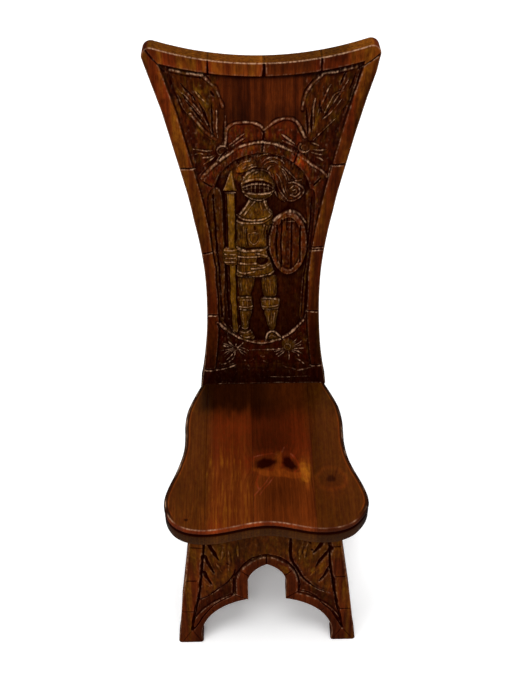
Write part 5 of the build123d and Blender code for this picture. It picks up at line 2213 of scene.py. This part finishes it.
# ------------------------------------------------------------------ stage
@dataclass
class Studio:
    """The white floor, the soft lamps and the camera."""

    camera_place: tuple[float, float, float] = (-0.02323, -1.10762, 1.6820)
    pitch: float = 44.69
    yaw: float = 1.04
    roll: float = 0.22
    lens: float = 49.57
    sensor: float = 36.0
    floor_half: float = 8.0
    floor_light: float = 0.8
    floor_shown: float = 1.24
    sky_light: float = 0.33
    suns: tuple[tuple[str, tuple[float, float, float], float, float], ...] = (
        ("sun_above", (-0.04, -0.1, 1.0), 30.0, 1.85),
        ("sun_left", (-0.8, -0.7, 0.2), 30.0, 1.2),
        ("sun_right", (0.7, -0.9, 0.2), 36.0, 0.55),
        ("sun_front", (-0.1, -0.6, 0.95), 9.0, 0.25),
    )

    def build(self) -> None:
        """Make all of the stage."""
        self.add_camera()
        self.add_floor()
        self.add_sky()
        for sun in self.suns:
            self.add_sun(*sun)

    def add_camera(self) -> None:
        """Aim the camera by its pitch below the horizon, its yaw and its roll."""
        camera = bpy.data.objects.new("camera", bpy.data.cameras.new("camera"))
        camera.data.sensor_width, camera.data.lens = self.sensor, self.lens
        camera.location = self.camera_place
        th, ya, ro = (math.radians(a) for a in (self.pitch, self.yaw, self.roll))
        ahead = Vector((math.sin(ya) * math.cos(th), math.cos(ya) * math.cos(th), -math.sin(th)))
        right = Vector((math.cos(ya), -math.sin(ya), 0.0))
        down = ahead.cross(right)
        level = right * math.cos(ro) + down * math.sin(ro)
        upright = right * math.sin(ro) - down * math.cos(ro)
        camera.rotation_mode = "QUATERNION"
        camera.rotation_quaternion = Matrix((level, upright, -ahead)).transposed().to_quaternion()
        bpy.context.scene.collection.objects.link(camera)
        bpy.context.scene.camera = camera

    def add_floor(self) -> None:
        """Lay the pale floor, shown brighter than it scatters, so that only the shadow is grey."""
        n = Nodes(bpy.data.materials.new("white_floor"))
        pale, shown = ((level, level, level, 1.0) for level in (self.floor_light, self.floor_shown))
        matt = n.close(n.add("BsdfDiffuse", {"Color": n.mix(n.is_seen(), pale, shown)}))
        half = self.floor_half
        corners = [(-half, -half, 0.0), (half, -half, 0.0), (half, half, 0.0), (-half, half, 0.0)]
        mesh = bpy.data.meshes.new("floor")
        mesh.from_pydata(corners, [], [(0, 1, 2, 3)])
        mesh.materials.append(matt)
        link_piece("floor", mesh)

    def add_sky(self) -> None:
        """Give soft light from all round, and white where the background is seen."""
        world = bpy.context.scene.world = bpy.data.worlds.new("studio")
        n = Nodes(world, "OutputWorld")
        light, shown = (
            n.add("Background", {0: (1, 1, 1, 1), 1: level}).outputs[0] for level in (self.sky_light, 1.0)
        )
        n.close(n.add("MixShader", {0: n.is_seen(), 1: light, 2: shown}))

    def add_sun(self, name: str, place: tuple[float, float, float], spread: float, strength: float) -> None:
        """Hang a broad, far lamp that shines towards the chair.

        Args:
            name: the lamp's name.
            place: the way to it.
            spread: how broad it looks, in degrees.
            strength: its energy.
        """
        data = bpy.data.lights.new(name, "SUN")
        data.angle, data.energy = math.radians(spread), strength
        lamp = bpy.data.objects.new(name, data)
        lamp.location = place
        lamp.rotation_mode = "QUATERNION"
        lamp.rotation_quaternion = (-Vector(place)).to_track_quat("-Z", "Y")
        bpy.context.scene.collection.objects.link(lamp)


def dress_frame_nodes(*finishes: tuple[bpy.types.Material, str]) -> None:
    """Give nodes that stay as the frame made them their finishes.

    Args:
        finishes: each a material, and the names of its nodes, parted by spaces.
    """
    for finish, names in finishes:
        for name in names.split():
            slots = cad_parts[name].data.materials
            slots.clear()
            slots.append(finish)
            log.info("%s: %s", name, finish.name)


def main() -> None:
    """Build the stage and the chair's pieces in order."""
    logging.basicConfig(level=logging.INFO, format="%(name)s: %(message)s")
    bpy.context.scene.view_settings.view_transform = "Standard"
    Studio().build()
    along_y, along_x = (math.pi / 2, 0.0, 0.0), (0.0, math.pi / 2, 0.0)
    back = CarvedBack()
    front = LegBoard("front_leg_board", "front_leg_stave", BoardPlane(-193.38, 0.0, 4.78))
    rear_plane = BoardPlane(125.99, 0.0, 9.0, faces_front=False)
    rear = LegBoard("rear_leg_board", "rear_leg_stave", rear_plane, narrowing=20.0, carved=False)
    seat_pine = StainedPine(
        "seat_stained_pine", along_y, (58, 19, 2), (84, 33, 6), (112, 52, 16),
        fibres=330.0, banding=0.03, contrast=0.55, blotch=0.9, varnish=0.05,
    )
    frame_wood = StainedPine("frame_stained_pine", along_x).material()
    back.build(StainedPine("back_stained_pine", back.plane.grain()).material())
    ShapedSeat().build(seat_pine.material())
    front.build(StainedPine("leg_stained_pine", front.plane.grain()).material())
    rear.build(StainedPine("rear_leg_stained_pine", rear.plane.grain()).material())
    cleats = "front_cleat_left front_cleat_right rear_cleat_left rear_cleat_right tenon_cleat"
    dress_frame_nodes(
        (StainedPine("rail_stained_pine", along_y).material(), "keel_rail"),
        (frame_wood, cleats + " tenon_key_left tenon_key_right"),
        (ScrewSteel().material(), "front_cleat_screws rear_cleat_screws tenon_cleat_screws"),
    )


if __name__ == "__main__":
    main()
